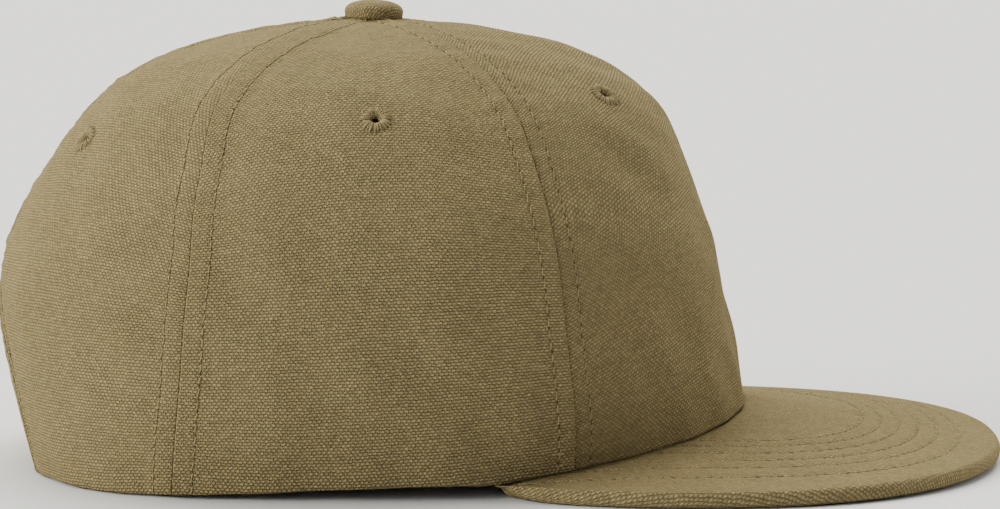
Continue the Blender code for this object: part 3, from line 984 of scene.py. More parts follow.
class TubeSet:
    """Closed tubes of changing width along paths, joined in one bmesh."""

    def __init__(self, sides: int = 6) -> None:
        """Start with no tubes."""
        self.sides = sides
        self.shape = bmesh.new()

    def add(self, path: Path, lengths: Array, half_width: Array, half_height: Array, lift: Array,
            shift: Array | float = 0.0, material: int = 0) -> None:
        """Draw a tube along a path.

        Args:
            path: the line that it follows.
            lengths: the places of its rings along the path.
            half_width: half the width of each ring, sideways.
            half_height: half the height of each ring, along the normal.
            lift: how far each ring's middle lies above the surface.
            shift: how far it lies to the side.
            material: the number of its material.
        """
        points, normals, sideways = path.at(lengths)
        aside = (shift * np.ones(len(lengths)))[:, None]
        middles = points + normals * np.asarray(lift)[:, None] + sideways * aside
        turns = 2.0 * math.pi * np.arange(self.sides) / self.sides
        across = sideways[:, None, :] * (half_width[:, None] * np.cos(turns))[..., None]
        upward = normals[:, None, :] * (half_height[:, None] * np.sin(turns))[..., None]
        self.add_rings(middles[:, None, :] + across + upward, material)

    def add_rings(self, rings: Array, material: int = 0, around: Array | None = None,
                  along: Array | None = None) -> None:
        """Draw a tube through rings of points.

        Args:
            rings: the points, by ring and by side.
            material: the number of its material.
            around: the cloth map's first coordinate at each side and once more at the first.
            along: the cloth map's second coordinate at each ring.
        """
        count, sides = rings.shape[:2]
        mapped = around is not None
        layers = self.shape.loops.layers.uv
        layer = layers.new(CLOTH_UV) if mapped else None
        faces = set()
        for corner in unit_grid(self.shape, sides, count - 1):
            column = round(corner.co.x * sides)
            row = round(corner.co.y * (count - 1))
            corner.co = rings[row, column % sides]
            faces.update(corner.link_faces)
            if mapped:
                for loop in corner.link_loops:
                    loop[layer].uv = (around[column], along[row])
        for face in faces:
            face.material_index = material

    def close(self) -> Shape:
        """Weld the tubes along their length and close their ends.

        Returns:
            The bmesh.
        """
        bmesh.ops.remove_doubles(self.shape, verts=self.shape.verts, dist=FINE_WELD)
        ends = [edge for edge in self.shape.edges if edge.is_boundary]
        bmesh.ops.holes_fill(self.shape, edges=ends, sides=self.sides)
        return self.shape


@dataclass(frozen=True)
class StitchForm:
    """One kind of running stitch, with dark marks of painted shade at the needle holes that its thread dives
    into.
    """

    pitch: float = 3.15 * MM
    radius: float = 0.18 * MM
    slant: float = 0.21 * MM
    hole_width: float = 0.15 * MM
    hole_length: float = 0.76 * MM
    hole_height: float = 0.09 * MM
    phases: tuple[float, ...] = (0.0, 0.16, 0.24, 0.39, 0.61, 0.76, 0.84)
    heights: tuple[float, ...] = (-2.6, -0.7, 0.45, 0.75, 0.75, 0.45, -0.7)
    end_stray: float = 0.05
    side_stray: float = 0.05 * MM
    firmness: float = 0.13
    hole_places: tuple[float, ...] = (-1.0, -0.75, 0.0, 0.75, 1.0)
    hole_widths: tuple[float, ...] = (0.05, 0.75, 1.0, 0.75, 0.05)
    hole_lifts: tuple[float, ...] = (-0.5, 0.04, 0.06, 0.04, -0.5)
    hole_open: float = 0.9
    hole_spread: float = 0.25
    hole_limits: tuple[float, float] = (0.35, 1.4)

    def count_in(self, whole: float) -> int:
        """Return how many stitches a length takes."""
        return max(int(whole / self.pitch), 1)

    def ends(self, count: int, seed: int) -> Array:
        """Return where the stitches of a row meet, in stitches from its start."""
        return np.arange(count + 1) + np.random.RandomState(seed).normal(0.0, self.end_stray, count + 1)

    def sew(self, tubes: TubeSet, path: Path, seed: int, count: int = 0) -> None:
        """Sew a row of stitches along the whole of a path.

        Args:
            tubes: where the thread is drawn, as material 0, and the painted shade at the needle holes, as
                material 1.
            path: the line of the stitches.
            seed: the seed for their small differences.
            count: the number of stitches, or 0 for as many as the path takes.
        """
        count = count or self.count_in(path.whole)
        pitch = path.whole / count
        draw = np.random.RandomState(seed + 5000)
        firm = draw.normal(1.0, self.firmness, count)
        ends = self.ends(count, seed) * pitch
        stray = draw.normal(0.0, self.side_stray, count + 1)
        phases = np.tile(self.phases, count)
        number = np.repeat(np.arange(count), len(self.phases))
        start = ends[number]
        end = ends[number + 1]
        lengths = np.clip(start + (end - start) * phases, 0.0, path.whole)
        heights = np.tile(self.heights, count) * self.radius * firm[number]
        thick = self.radius * (0.75 + 0.25 * firm[number]) * (0.8 + 0.2 * np.sin(math.pi * phases))
        side = stray[number] * (1.0 - phases) + stray[number + 1] * phases
        side += self.slant * (2.0 * phases - 1.0)
        tubes.add(path, lengths, thick, thick, heights, side)
        self.paint_hole_shade(tubes, path, ends[1:count], stray[1:count], draw)

    def paint_hole_shade(self, tubes: TubeSet, path: Path, middles: Array, stray: Array,
               draw: np.random.RandomState) -> None:
        """Draw dark marks at the needle holes between the stitches: painted shade for the hollows where the
        thread dives in.

        Args:
            tubes: where they are drawn, as material 1.
            path: the line of the stitches.
            middles: the holes' places along the path.
            stray: how far each lies to the side.
            draw: the source of their small differences.
        """
        # Each mark is a thin dark tube on the cloth's face that dives in at both ends: painted shade rather
        # than a hole cut through.
        wide = draw.normal(self.hole_open, self.hole_spread, len(middles))
        wide = np.clip(wide, *self.hole_limits)[:, None]
        lengths = (middles[:, None] + np.array(self.hole_places) * self.hole_length * wide).ravel()
        widths = (np.array(self.hole_widths) * self.hole_width * (0.5 + 0.5 * wide)).ravel()
        lifts = np.tile(np.array(self.hole_lifts) * MM, len(middles))
        tubes.add(path, np.clip(lengths, 0.0, path.whole), widths, np.full_like(widths, self.hole_height),
                  lifts, np.repeat(stray, len(self.hole_places)), 1)


class SeamSide(Enum):
    """Which side of a seam a panel lies on."""

    OVER = "its edge rolls over the seam"
    UNDER = "its edge dips under its neighbour's"


@dataclass(frozen=True)
class SeamForm:
    """The section of a seam that is pressed open and stitched down on both sides."""

    gap: float = 0.09 * MM
    gap_waver: float = 0.04 * MM
    over_roll: float = 0.40 * MM
    over_drop: float = 0.62 * MM
    over_lift: float = 0.30 * MM
    over_spread: float = 2.4 * MM
    under_roll: float = 0.34 * MM
    under_drop: float = 0.48 * MM
    under_dip: float = 0.16 * MM
    under_spread: float = 1.4 * MM
    allowance: float = 5.6 * MM
    allowance_slope: float = 1.6 * MM
    allowance_lift: float = 0.30 * MM
    stitch_offset: float = 4.5 * MM
    stitch_length: float = 3.15 * MM
    stitch_dip: float = 0.36 * MM
    stitch_width: float = 0.60 * MM
    pull: float = 0.2
    pucker: float = 0.11 * MM
    short_pucker: float = 0.5
    pucker_spread: float = 5.0 * MM
    steps: int = 400


class SeamLine:
    """One seam up the crown, from the rim to the button."""

    def __init__(self, azimuth: Callable[[Array], Array], crown: CrownForm, form: SeamForm,
                 seed: int) -> None:
        """Measure the seam and draw its puckers.

        Args:
            azimuth: tells its azimuth at shares up the crown.
            crown: the crown's form.
            form: the seam's section.
            seed: the seed for its puckers.
        """
        self.seed = seed
        self.azimuth = azimuth
        self.form = form
        self.shares = np.linspace(0.0, 1.0, form.steps + 1)
        points = crown.point(azimuth(self.shares), self.shares)
        self.lengths = run_length(points, 0)
        self.long_puckers = Ripple(seed, 5.0 * MM, 14.0 * MM)
        self.short_puckers = Ripple(seed + 1, 2.4 * MM, 4.0 * MM)
        self.waver = Ripple(seed + 2, 1.6 * MM, 5.0 * MM)

    def along(self, share: Array) -> Array:
        """Return the length along the seam at a share up the crown."""
        return np.interp(share, self.shares, self.lengths)

    def edge_shift(self, share: Array) -> Array:
        """Return how far a panel's edge keeps from the seam line."""
        return 0.5 * self.form.gap + self.form.gap_waver * self.waver.along(self.along(share))

    def lift(self, distance: Array, share: Array, side: SeamSide) -> Array:
        """Return how far the seam lifts the face of the panel beside it.

        Args:
            distance: the distance from the seam line, 0 or more.
            share: the share up the crown.
            side: which side of the seam the panel lies on.

        Returns:
            The lift along the face's normal, negative where the cloth dips.
        """
        form = self.form
        along = self.along(share)
        if side is SeamSide.OVER:
            reach, drop = form.over_roll, form.over_drop
            step = form.over_lift * bell(distance, form.over_spread)
        else:
            reach, drop = form.under_roll, form.under_drop
            step = -form.under_dip * bell(distance, form.under_spread)
        roll = -drop * rolled(distance, reach)
        past = (distance - form.allowance) / form.allowance_slope
        doubled = form.allowance_lift * (1.0 - ease(past + 0.5))
        pull = 1.0 - form.pull + form.pull * np.cos(2.0 * math.pi * along / form.stitch_length)
        dip = -form.stitch_dip * pull * bell(distance - form.stitch_offset, form.stitch_width)
        near = bell(distance - form.stitch_offset, form.pucker_spread)
        puckers = self.long_puckers.along(along) + form.short_pucker * self.short_puckers.along(along)
        return roll + step + doubled + dip + form.pucker * puckers * near


@dataclass(frozen=True)
class EyeletPlace:
    """Where an eyelet sits on the wearer's right side, or its twin on the left."""

    name: str
    panel: str
    azimuth: float
    rise: float


EYELETS = (
    EyeletPlace("eyelet_front_right", "front_panel", 27.9, 0.844),
    EyeletPlace("eyelet_front_left", "front_panel", -27.9, 0.844),
    EyeletPlace("eyelet_side_right", "side_panel_right", 87.0, 0.806),
    EyeletPlace("eyelet_side_left", "side_panel_left", -87.0, 0.806),
    EyeletPlace("eyelet_back_right", "back_panel_right", 158.4, 0.742),
    EyeletPlace("eyelet_back_left", "back_panel_left", -158.4, 0.742),
)


@dataclass(frozen=True)
class EyeletForm:
    """A worked eyelet: threads from a small hole out over a raised ring."""

    radius: float = 4.3 * MM
    threads: int = 46
    thread_radius: float = 0.145 * MM
    opened: float = 2.0 * MM
    hole_rise: float = 0.8 * MM
    dimple: float = 0.30 * MM
    dimple_spread: float = 6.0 * MM
    calm: float = 9.0 * MM


@dataclass(frozen=True)
class ArchForm:
    """The opening above the strap, and the folded strip that binds its edge."""

    half_width: float = 33.0 * MM
    height: float = 41.0 * MM
    cut_back: float = 1.9 * MM
    calm: float = 12.0 * MM
    stitch_offset: float = 4.6 * MM
    calm_from: float = 2.0 * MM
    stitch_clear: float = 6.3 * MM

    def outside(self, point: Array) -> Array:
        """Return about how far points of the back panels lie outside the opening."""
        upward = np.maximum(point[..., 2], 0.0) / self.height
        return (np.hypot(point[..., 0] / self.half_width, upward) - 1.0) * self.half_width

    def holds(self, point: Array) -> Array:
        """Tell which points lie in the opening, grown by what the binding hides.

        Args:
            point: points of the crown.

        Returns:
            Whether each lies in it.
        """
        across = np.abs(point[..., 0]) / (self.half_width + self.cut_back)
        upward = np.maximum(point[..., 2], 0.0) / (self.height + self.cut_back)
        return (across * across + upward * upward < 1.0) & (point[..., 1] > 0.0)


@dataclass(frozen=True)
class PanelPlan:
    """One panel of the crown between two seams."""

    name: str
    left: str
    right: str
    side: SeamSide
    columns: int
    seed: int
    grain_tilt: float = 0.0
    grain_bow: float = 0.0

    @property
    def at_back(self) -> bool:
        """Tell whether the arch is cut from the panel."""
        return self.name.startswith("back")


@dataclass(frozen=True)
class AllowanceForm:
    """A strip of cloth behind a seam, pressed open on the lining side."""

    columns: int = 12
    rows: int = 100
    packing: float = 0.3
    rim_gap: float = 0.004
    arch_gap: float = 3.0 * MM
    lap: float = 1.2 * MM
    most: float = 0.45
    cloth: float = 0.7 * MM
    thinned: float = 0.75
    thin_power: int = 8
    wave: float = 0.08 * MM
    sunk: float = 0.05 * MM


@dataclass(frozen=True)
class HemForm:
    """The turned-in hem along the rim, on the lining side."""

    columns: int = 260
    rows: int = 12
    height: float = 13.0 * MM
    foot_gap: float = 2.0 * MM
    lift: float = 0.5 * MM
    cloth: float = 0.8 * MM
    thinned: float = 0.7
    thin_power: int = 6
    wave: float = 0.10 * MM
    sunk: float = 0.10 * MM


@dataclass
class Crown:
    """The five panels, with the seams, hems and stitches that hold them together."""

    form: CrownForm
    wardrobe: Wardrobe
    seam: SeamForm = field(default_factory=SeamForm)
    rear_seam: SeamForm = SeamForm(allowance=6.2 * MM, stitch_offset=5.3 * MM)
    back_seam: SeamForm = SeamForm(over_lift=0.10 * MM, under_dip=0.10 * MM)
    eyelet: EyeletForm = field(default_factory=EyeletForm)
    arch: ArchForm = field(default_factory=ArchForm)
    allowance: AllowanceForm = field(default_factory=AllowanceForm)
    hem: HemForm = field(default_factory=HemForm)
    rows: int = 132
    rounds: int = 4
    seam_packing: float = 0.85
    rim_packing: float = 0.55
    grain_steps: int = 300
    least_bow: float = -4.0
    most_bow: float = 60.0
    wall: float = 1.15 * MM
    rim_roll: float = 0.9 * MM
    outer_roll: float = 0.55
    inner_roll: float = 0.45
    lining_follows: float = 0.4
    fold_width: float = 0.34 * MM
    wave: float = 0.26 * MM
    wave_calm: float = 12.0 * MM
    button_cover: float = 5.5 * MM
    stitch_most: float = 0.42
    stitch: StitchForm = StitchForm()
    stitch_lines: list[tuple[Array, Array]] = field(default_factory=list)
    plans: tuple[PanelPlan, ...] = (
        PanelPlan("front_panel", "front_left", "front_right", SeamSide.UNDER, 150, 11, 0.0, 3.4),
        PanelPlan("side_panel_right", "front_right", "rear_right", SeamSide.OVER, 100, 23, 0.045),
        PanelPlan("side_panel_left", "rear_left", "front_left", SeamSide.OVER, 100, 37, -0.045),
        PanelPlan("back_panel_right", "rear_right", "back_right", SeamSide.UNDER, 96, 41),
        PanelPlan("back_panel_left", "back_left", "rear_left", SeamSide.UNDER, 96, 53),
    )

    @cached_property
    def seams(self) -> dict[str, SeamLine]:
        """Lay out the seams.

        Returns:
            The seams by name; the back one has a name for each of its sides.
        """
        front = self.form.curves["front_seam"]
        rear = self.form.curves["rear_seam"]
        lines = {
            "front_right": (lambda s: front(s), self.seam, 101),
            "front_left": (lambda s: -front(s), self.seam, 111),
            "rear_right": (lambda s: rear(s), self.rear_seam, 121),
            "rear_left": (lambda s: -rear(s), self.rear_seam, 131),
            "back_right": (lambda s: np.full_like(s, 180.0), self.back_seam, 141),
            "back_left": (lambda s: np.full_like(s, -180.0), self.back_seam, 141),
        }
        return {name: SeamLine(azimuth, self.form, form, seed)
                for name, (azimuth, form, seed) in lines.items()}

    def build(self) -> None:
        """Build every piece of the crown."""
        for plan in self.plans:
            self.build_panel(plan)
        self.sew_seams()
        for name in ("front_right", "front_left", "rear_right", "rear_left", "back_right"):
            self.build_allowance(name)
        self.build_hem()

    def build_allowance(self, name: str) -> None:
        """Build the strip of cloth behind a seam.

        Args:
            name: the seam's name.
        """
        seam = self.seams[name]
        plan = self.allowance
        upward = packed_start(plan.rows, plan.packing)[:, None]
        across = np.linspace(-1.0, 1.0, plan.columns + 1)[None, :]
        line = seam.azimuth(upward[:, 0])
        low = self.form.rim_share(line)[:, None] + plan.rim_gap
        if name.startswith("back"):
            low = np.full_like(low, self.form.share_at(self.arch.height + plan.arch_gap))
        share = low + (self.form.top_share(line)[:, None] - low) * upward + 0.0 * across
        middle = seam.azimuth(share)
        radius = self.form.radius(middle, share)
        wide = np.minimum(self.seam.allowance + plan.lap, plan.most * radius)
        azimuth = middle + np.degrees(across * wide / radius)
        point = self.form.point(azimuth, share)
        normal = self.form.normal(azimuth, share)
        thin = plan.cloth * (1.0 - plan.thinned * np.abs(across) ** plan.thin_power)
        soft = plan.wave * Ripple(seam.seed + 7, 4.0 * MM, 18.0 * MM).along(seam.along(share))
        top = point - normal * (self.wall - plan.sunk)
        under = point - normal * (self.wall + thin + soft)[..., None]
        sheet = ClothSheet(plan.columns, plan.rows)
        shape = sheet.place(top, under, across * wide, seam.along(share))
        finish_piece("seam_allowance_" + name, shape, [self.wardrobe.canvas])

    def build_hem(self) -> None:
        """Build the turned-in hem along the rim, on the lining side."""
        plan = self.hem
        foot = math.degrees(math.asin((self.arch.half_width + plan.foot_gap) / self.form.back))
        across = np.linspace(foot - 180.0, 180.0 - foot, plan.columns + 1)[None, :]
        upward = np.linspace(0.0, 1.0, plan.rows + 1)[:, None]
        azimuth = across + 0.0 * upward
        share = self.form.rim_share(across) + self.form.share_at(plan.height) * upward
        point = self.form.point(azimuth, share)
        normal = self.form.normal(azimuth, share)
        run = run_length(point, 1)
        rise = upward * plan.height + 0.0 * run
        soft = plan.wave * Ripple(477, 5.0 * MM, 25.0 * MM).over(run, rise)
        edge = 1.0 - plan.thinned * np.abs(2.0 * upward - 1.0) ** plan.thin_power
        lifted = point + np.array([0.0, 0.0, plan.lift])
        top = lifted - normal * (self.wall - plan.sunk)
        under = lifted - normal * (self.wall + plan.cloth * edge + soft)[..., None]
        shape = ClothSheet(plan.columns, plan.rows).place(top, under, run, rise)
        finish_piece("rim_hem", shape, [self.wardrobe.canvas])

    def sew_seams(self) -> None:
        """Sew the rows of stitches beside every seam."""
        tubes = TubeSet()
        for number, (points, normals) in enumerate(self.stitch_lines):
            self.stitch.sew(tubes, Path(points, normals), 500 + number)
        finish_piece("crown_stitches", tubes.close(), self.wardrobe.sewn)

    def keep_stitch_lines(self, plan: PanelPlan, outer: Array, normal: Array, run: Array) -> None:
        """Keep the lines beside a panel's two seams, for the stitches.

        Args:
            plan: the panel.
            outer: its outer points, by row and column.
            normal: its normals.
            run: the lengths across it.
        """
        columns = np.arange(run.shape[1])
        for name in (plan.left, plan.right):
            points = []
            normals = []
            offset = np.minimum(self.seams[name].form.stitch_offset, self.stitch_most * run[:, -1])
            wanted = offset if name == plan.left else run[:, -1] - offset
            for row in range(run.shape[0]):
                place = np.interp(wanted[row], run[row], columns)
                low = min(int(place), run.shape[1] - 2)
                part = place - low
                points.append(outer[row, low] * (1.0 - part) + outer[row, low + 1] * part)
                normals.append(normal[row, low] * (1.0 - part) + normal[row, low + 1] * part)
            points = np.array(points)
            shown = np.hypot(points[:, 0], points[:, 1]) > self.button_cover
            if plan.at_back:
                shown &= self.arch.outside(points) > self.arch.stitch_clear
            self.stitch_lines.append((points[shown], np.array(normals)[shown]))

    def side_at(self, plan: PanelPlan, seam: str) -> SeamSide:
        """Return which side of a seam a panel lies on."""
        return SeamSide.OVER if seam == "back_left" else plan.side

    def panel_grid(self, plan: PanelPlan) -> tuple[Array, Array]:
        """Lay a panel's grid between its seams, from the rim to the button.

        Args:
            plan: the panel.

        Returns:
            The azimuths and the shares up the crown, by row and column.
        """
        form = self.form
        left = self.seams[plan.left]
        right = self.seams[plan.right]
        across = packed_ends(plan.columns, self.seam_packing)[None, :]
        upward = packed_start(self.rows, self.rim_packing)[:, None]
        share = upward + 0.0 * across
        for _ in range(self.rounds):
            azimuth = left.azimuth(share) + (right.azimuth(share) - left.azimuth(share)) * across
            low = form.rim_share(azimuth)
            share = low + (form.top_share(azimuth) - low) * upward
        azimuth = left.azimuth(share) + (right.azimuth(share) - left.azimuth(share)) * across
        radius = np.maximum(form.radius(azimuth, share), form.post_radius)
        inset = left.edge_shift(share) * (1.0 - across) - right.edge_shift(share) * across
        return azimuth + np.degrees(inset / radius), share

    def grain(self, plan: PanelPlan, share: Array, u: Array) -> tuple[Array, Array]:
        """Run the weft across a panel, bowed as cloth is that was cut flat.

        Args:
            plan: the panel.
            share: the shares up the crown.
            u: the lengths from the panel's middle.

        Returns:
            The length up the panel's middle at each point, and its place across the weft.
        """
        whole = np.linspace(0.0, float(share.max()), self.grain_steps)
        meridian = 0.5 * (self.seams[plan.left].azimuth(whole) + self.seams[plan.right].azimuth(whole))
        climb = run_length(self.form.point(meridian, whole), 0)
        level = np.interp(share, whole, climb)
        girth = self.form.radius(meridian, whole)
        shrink = np.clip(-np.gradient(girth, climb) / girth, self.least_bow, self.most_bow)
        bow = np.interp(share, whole, shrink) + plan.grain_bow
        return level, level + 0.5 * bow * u * u + plan.grain_tilt * u

    def build_panel(self, plan: PanelPlan) -> None:
        """Build one panel as a closed sheet with its hem, its folds and the pull of its seams.

        Args:
            plan: the panel.
        """
        form = self.form
        azimuth, share = self.panel_grid(plan)
        face = form.point(azimuth, share)
        normal = form.normal(azimuth, share)
        run = run_length(face, 1)
        rise = run_length(face, 0)
        to_right = run[:, -1:] - run
        middle = plan.columns // 2
        u = run - run[:, middle:middle + 1]
        level, v = self.grain(plan, share, u)
        lift = self.seams[plan.left].lift(run, share, self.side_at(plan, plan.left))
        lift = lift + self.seams[plan.right].lift(to_right, share, self.side_at(plan, plan.right))
        centres = [form.point(np.array(place.azimuth), form.share_at(place.rise * form.height))
                   for place in EYELETS if place.panel == plan.name]
        distances = [np.linalg.norm(face - centre, axis=-1) for centre in centres]
        calm = ease(run / self.wave_calm) * ease(to_right / self.wave_calm)
        for distance in distances:
            calm = calm * (1.0 - bell(distance, self.eyelet.calm))
        if plan.at_back:
            calm = calm * ease((self.arch.outside(face) - self.arch.calm_from) / self.arch.calm)
        lift = lift + self.wave * Ripple(plan.seed, 16.0 * MM, 46.0 * MM).over(u, level) * calm
        away = np.full_like(run, 1.0)
        for distance in distances:
            lift = lift - self.eyelet.dimple * bell(distance, self.eyelet.dimple_spread)
            away = np.minimum(away, distance)

        gone = 0.25 * (away[:-1, :-1] + away[1:, :-1] + away[:-1, 1:] + away[1:, 1:]) < self.eyelet.opened
        if plan.at_back:
            gone |= self.arch.holds(0.5 * (face[:-1, :-1] + face[1:, 1:]))
        hem = self.rim_roll * rolled(rise, self.rim_roll)
        outer = face + normal * (lift - self.outer_roll * hem)[..., None]
        self.keep_stitch_lines(plan, outer, normal, run)
        depth = np.minimum(lift, 0.0) * self.lining_follows - self.wall + self.inner_roll * hem
        sheet = ClothSheet(plan.columns, self.rows, gone)
        shape = sheet.place(outer, face + normal * depth[..., None], u, v)
        folded = np.full(run.shape, False)
        for seam, distance in ((plan.left, run), (plan.right, to_right)):
            if self.side_at(plan, seam) is SeamSide.OVER:
                folded |= distance < self.fold_width
        sheet.dress(folded, 1)
        materials = [self.wardrobe.canvas, self.wardrobe.fold]
        finish_piece(plan.name + "_cloth", shape, materials, plan.name)


@dataclass
class Brim:
    """The flat brim: canvas over a board, quilted by rows of stitches that follow its edge."""

    form: CrownForm
    wardrobe: Wardrobe
    columns: int = 520
    row_faces: int = 7
    edge_faces: int = 8
    channel: float = 0.30 * MM
    channel_width: float = 0.70 * MM
    needle_dip: float = 0.50 * MM
    pad: float = 0.16 * MM
    pucker: float = 0.05 * MM
    square: float = 2.45
    row_packing: float = 0.55
    least_row: float = 0.008
    least_shown: float = 0.012
    halvings: int = 30
    first_seed: int = 300
    sinks: float = 0.35
    calm: float = 2.0 * MM
    pucker_spread: float = 3.0 * MM
    least_pad: float = 0.1 * MM
    under_follows: float = 0.8
    run_back: float = 150.0 * MM
    edge_flat: float = 0.3 * MM
    corner_thin: float = 0.20 * MM
    corner_start: float = 3.5 * MM
    corner_reach: float = 4.0 * MM
    corner_power: float = 1.05
    corner_level_reach: float = 3.2 * MM
    least_round: float = 0.02 * MM
    from_front: tuple[float, ...] = (36.8 * MM, 31.8 * MM, 27.0 * MM, 22.0 * MM, 17.0 * MM, 11.2 * MM)
    from_side: tuple[float, ...] = (44.6 * MM, 39.8 * MM, 34.0 * MM, 27.9 * MM, 21.8 * MM, 14.0 * MM)
    stitch: StitchForm = StitchForm(pitch=3.0 * MM, radius=0.12 * MM, slant=0.06 * MM, hole_width=0.16 * MM,
                                    hole_length=0.80 * MM, hole_height=0.12 * MM)

    def row_level(self, points: Array, row: int) -> Array:
        """Tell about how far outside a stitch row plan points lie.

        Args:
            points: the points.
            row: the row's number, from 0 for the one nearest the crown.

        Returns:
            The distances as shares of the row's size, negative inside it.
        """
        brim = self.form.brim
        forward = -(points[..., 1] + brim.middle)
        reach = np.where(forward >= 0.0, brim.reach - self.from_front[row], self.run_back)
        width = brim.half_width - self.from_side[row]
        spread = np.abs(forward / reach) ** self.square + np.abs(points[..., 0] / width) ** self.square
        return spread ** (1.0 / self.square) - 1.0

    def crossings(self, inner: Array, outer: Array) -> Array:
        """Find where the rays from the crown to the brim's edge cross the stitch rows.

        Args:
            inner: where each ray starts.
            outer: where it ends.

        Returns:
            The shares along the rays, by row.
        """
        rows = []
        for row in range(len(self.from_front)):
            low = np.zeros(len(inner))
            high = np.ones(len(inner))
            for _ in range(self.halvings):
                middle = 0.5 * (low + high)
                inside = self.row_level(inner + (outer - inner) * middle[:, None], row) < 0.0
                low = np.where(inside, middle, low)
                high = np.where(inside, high, middle)
            rows.append(0.5 * (low + high))
        return np.stack(rows)

    def inner_line(self, azimuth: Array) -> Array:
        """Return plan points of the brim's inner edge, under the crown's cloth.

        Args:
            azimuth: the azimuths of the crown's rim above them.

        Returns:
            The points.
        """
        share = self.form.rim_share(azimuth)
        level = unit(self.form.normal(azimuth, share)[:, :2])
        return self.form.point(azimuth, share)[:, :2] - level * self.form.cloth

    def share_out(self, raw: Array) -> tuple[Array, Array]:
        """Share out the corners between the stitch rows.

        Args:
            raw: where each ray crosses each stitch row.

        Returns:
            The shares of the stitch rows and of both edges, and those of all the corners.
        """
        start = np.zeros((1, raw.shape[1]))
        spaced = (np.arange(len(raw)) + 1.0)[:, None] * self.least_row
        nodes = np.concatenate([start, np.maximum(raw, spaced), start + 1.0])
        nodes = np.maximum.accumulate(nodes, axis=0)
        steps = packed_ends(self.row_faces, self.row_packing)[:-1]
        shares = [low + (high - low) * step for low, high in zip(nodes, nodes[1:]) for step in steps]
        return nodes, np.stack(shares)

    def build(self) -> None:
        """Build the brim and sew its rows on both faces."""
        form = self.form
        side = np.linspace(-1.0, 1.0, self.columns + 1)
        inner = self.inner_line(form.corner_azimuth * side)
        edge = form.brim.outline(form.brim_edge[0] * side)
        along_edge = run_length(edge, 0)
        to_corner = np.minimum(along_edge, along_edge[-1] - along_edge)
        thickness = self.thickness_at(to_corner)
        out = edge - inner
        reach = np.linalg.norm(out, axis=-1)
        out /= reach[:, None]
        rounding = np.clip(0.5 * (thickness - form.brim.edge_flat), self.least_round, form.brim.edge_round)
        raw = self.crossings(inner, edge - out * rounding[:, None])
        reach = reach - rounding
        nodes, flat = self.share_out(raw)
        turn = (0.5 * math.pi * np.arange(self.edge_faces + 1) / self.edge_faces)[:, None]
        run = np.concatenate([flat * reach, reach + rounding * np.sin(turn)])
        fall = np.concatenate([np.zeros_like(flat), 1.0 - np.cos(turn) + np.zeros_like(rounding)])
        tall = 0.5 * (thickness - np.minimum(self.edge_flat, 0.5 * thickness)) * fall
        x, y = np.moveaxis(inner + out * run[..., None], -1, 0)
        steps = np.hypot(np.diff(run, axis=0), np.diff(tall, axis=0))
        arc = np.concatenate([run[:1], steps]).cumsum(axis=0)
        drawn = inner + out * arc[..., None]
        beyond = inner + out * (2.0 * arc[-1:] + self.edge_flat - arc)[..., None]
        top = form.brim_top(x, y)
        rows_at = [(np.flatnonzero(raw[row] > self.least_shown), (row + 1) * self.row_faces)
                   for row in range(len(raw))]
        lines = [run_length(np.stack([x, y, top], -1)[line, kept], 0) for kept, line in rows_at]
        counts = [self.stitch.count_in(line[-1]) for line in lines]
        pull = np.zeros_like(raw)
        for row, (kept, _) in enumerate(rows_at):
            ends = self.stitch.ends(counts[row], self.row_seed(row)) * lines[row][-1] / counts[row]
            pull[row, kept] = bell(lines[row][:, None] - ends[None, :], self.needle_dip).sum(axis=1)
        fine = Ripple(211, 2.5 * MM, 7.0 * MM).over(x, y)
        relief = self.relief(run, nodes, raw, reach, fine, pull)
        level = form.point(form.corner_azimuth, form.rim_share(form.corner_azimuth))[2]
        top = top + (level - top) * bell(to_corner, self.corner_level_reach)
        face = np.stack([x, y, top - tall + relief], -1)
        under = np.stack([x, y, top - thickness + tall - self.under_follows * relief], -1)
        rows = face.shape[0] - 1
        sheet = ClothSheet(self.columns, rows)
        shape = sheet.place(face, under, drawn[..., 1], drawn[..., 0])
        sheet.wrap(beyond[..., ::-1], rows - self.edge_faces)
        finish_piece("brim_cloth", shape, [self.wardrobe.canvas], "brim")
        self.sew(face, under, rows_at, counts)

    def row_seed(self, row: int) -> int:
        """Return the seed for the stitches of a row."""
        return self.first_seed + 10 * row

    def thickness_at(self, to_corner: Array) -> Array:
        """Return the brim's thickness at distances along its edge from a rear corner."""
        further = np.maximum(to_corner - self.corner_start, 0.0) / self.corner_reach
        return self.corner_thin + (self.form.brim.thickness - self.corner_thin) * (
            1.0 - np.exp(-(further ** self.corner_power)))

    def relief(self, run: Array, nodes: Array, raw: Array, reach: Array, fine: Array,
               pull: Array) -> Array:
        """Pad the cloth between the stitch rows and sink it in them.

        Args:
            run: the length along each ray, by row and column of the grid.
            nodes: the shares of the stitch rows and of both edges, by row.
            raw: where each ray crosses each stitch row.
            reach: the length of each ray.
            fine: the fine ripples of the cloth.
            pull: how far the needle holes pull each stitch row down.

        Returns:
            How far the cloth lies above the plain face.
        """
        height = np.zeros_like(run)
        for row in range(len(raw)):
            there = ease(raw[row] * reach / self.calm)
            away = run - nodes[row + 1] * reach
            height -= self.channel * bell(away, self.channel_width) * there * (self.sinks + pull[row])
            height += self.pucker * fine * bell(away, self.pucker_spread) * there
        for row in range(1, len(raw)):
            low = nodes[row] * reach
            high = nodes[row + 1] * reach
            share = np.clip((run - low) / np.maximum(high - low, self.least_pad), 0.0, 1.0)
            height += self.pad * np.sin(math.pi * share)
        return height

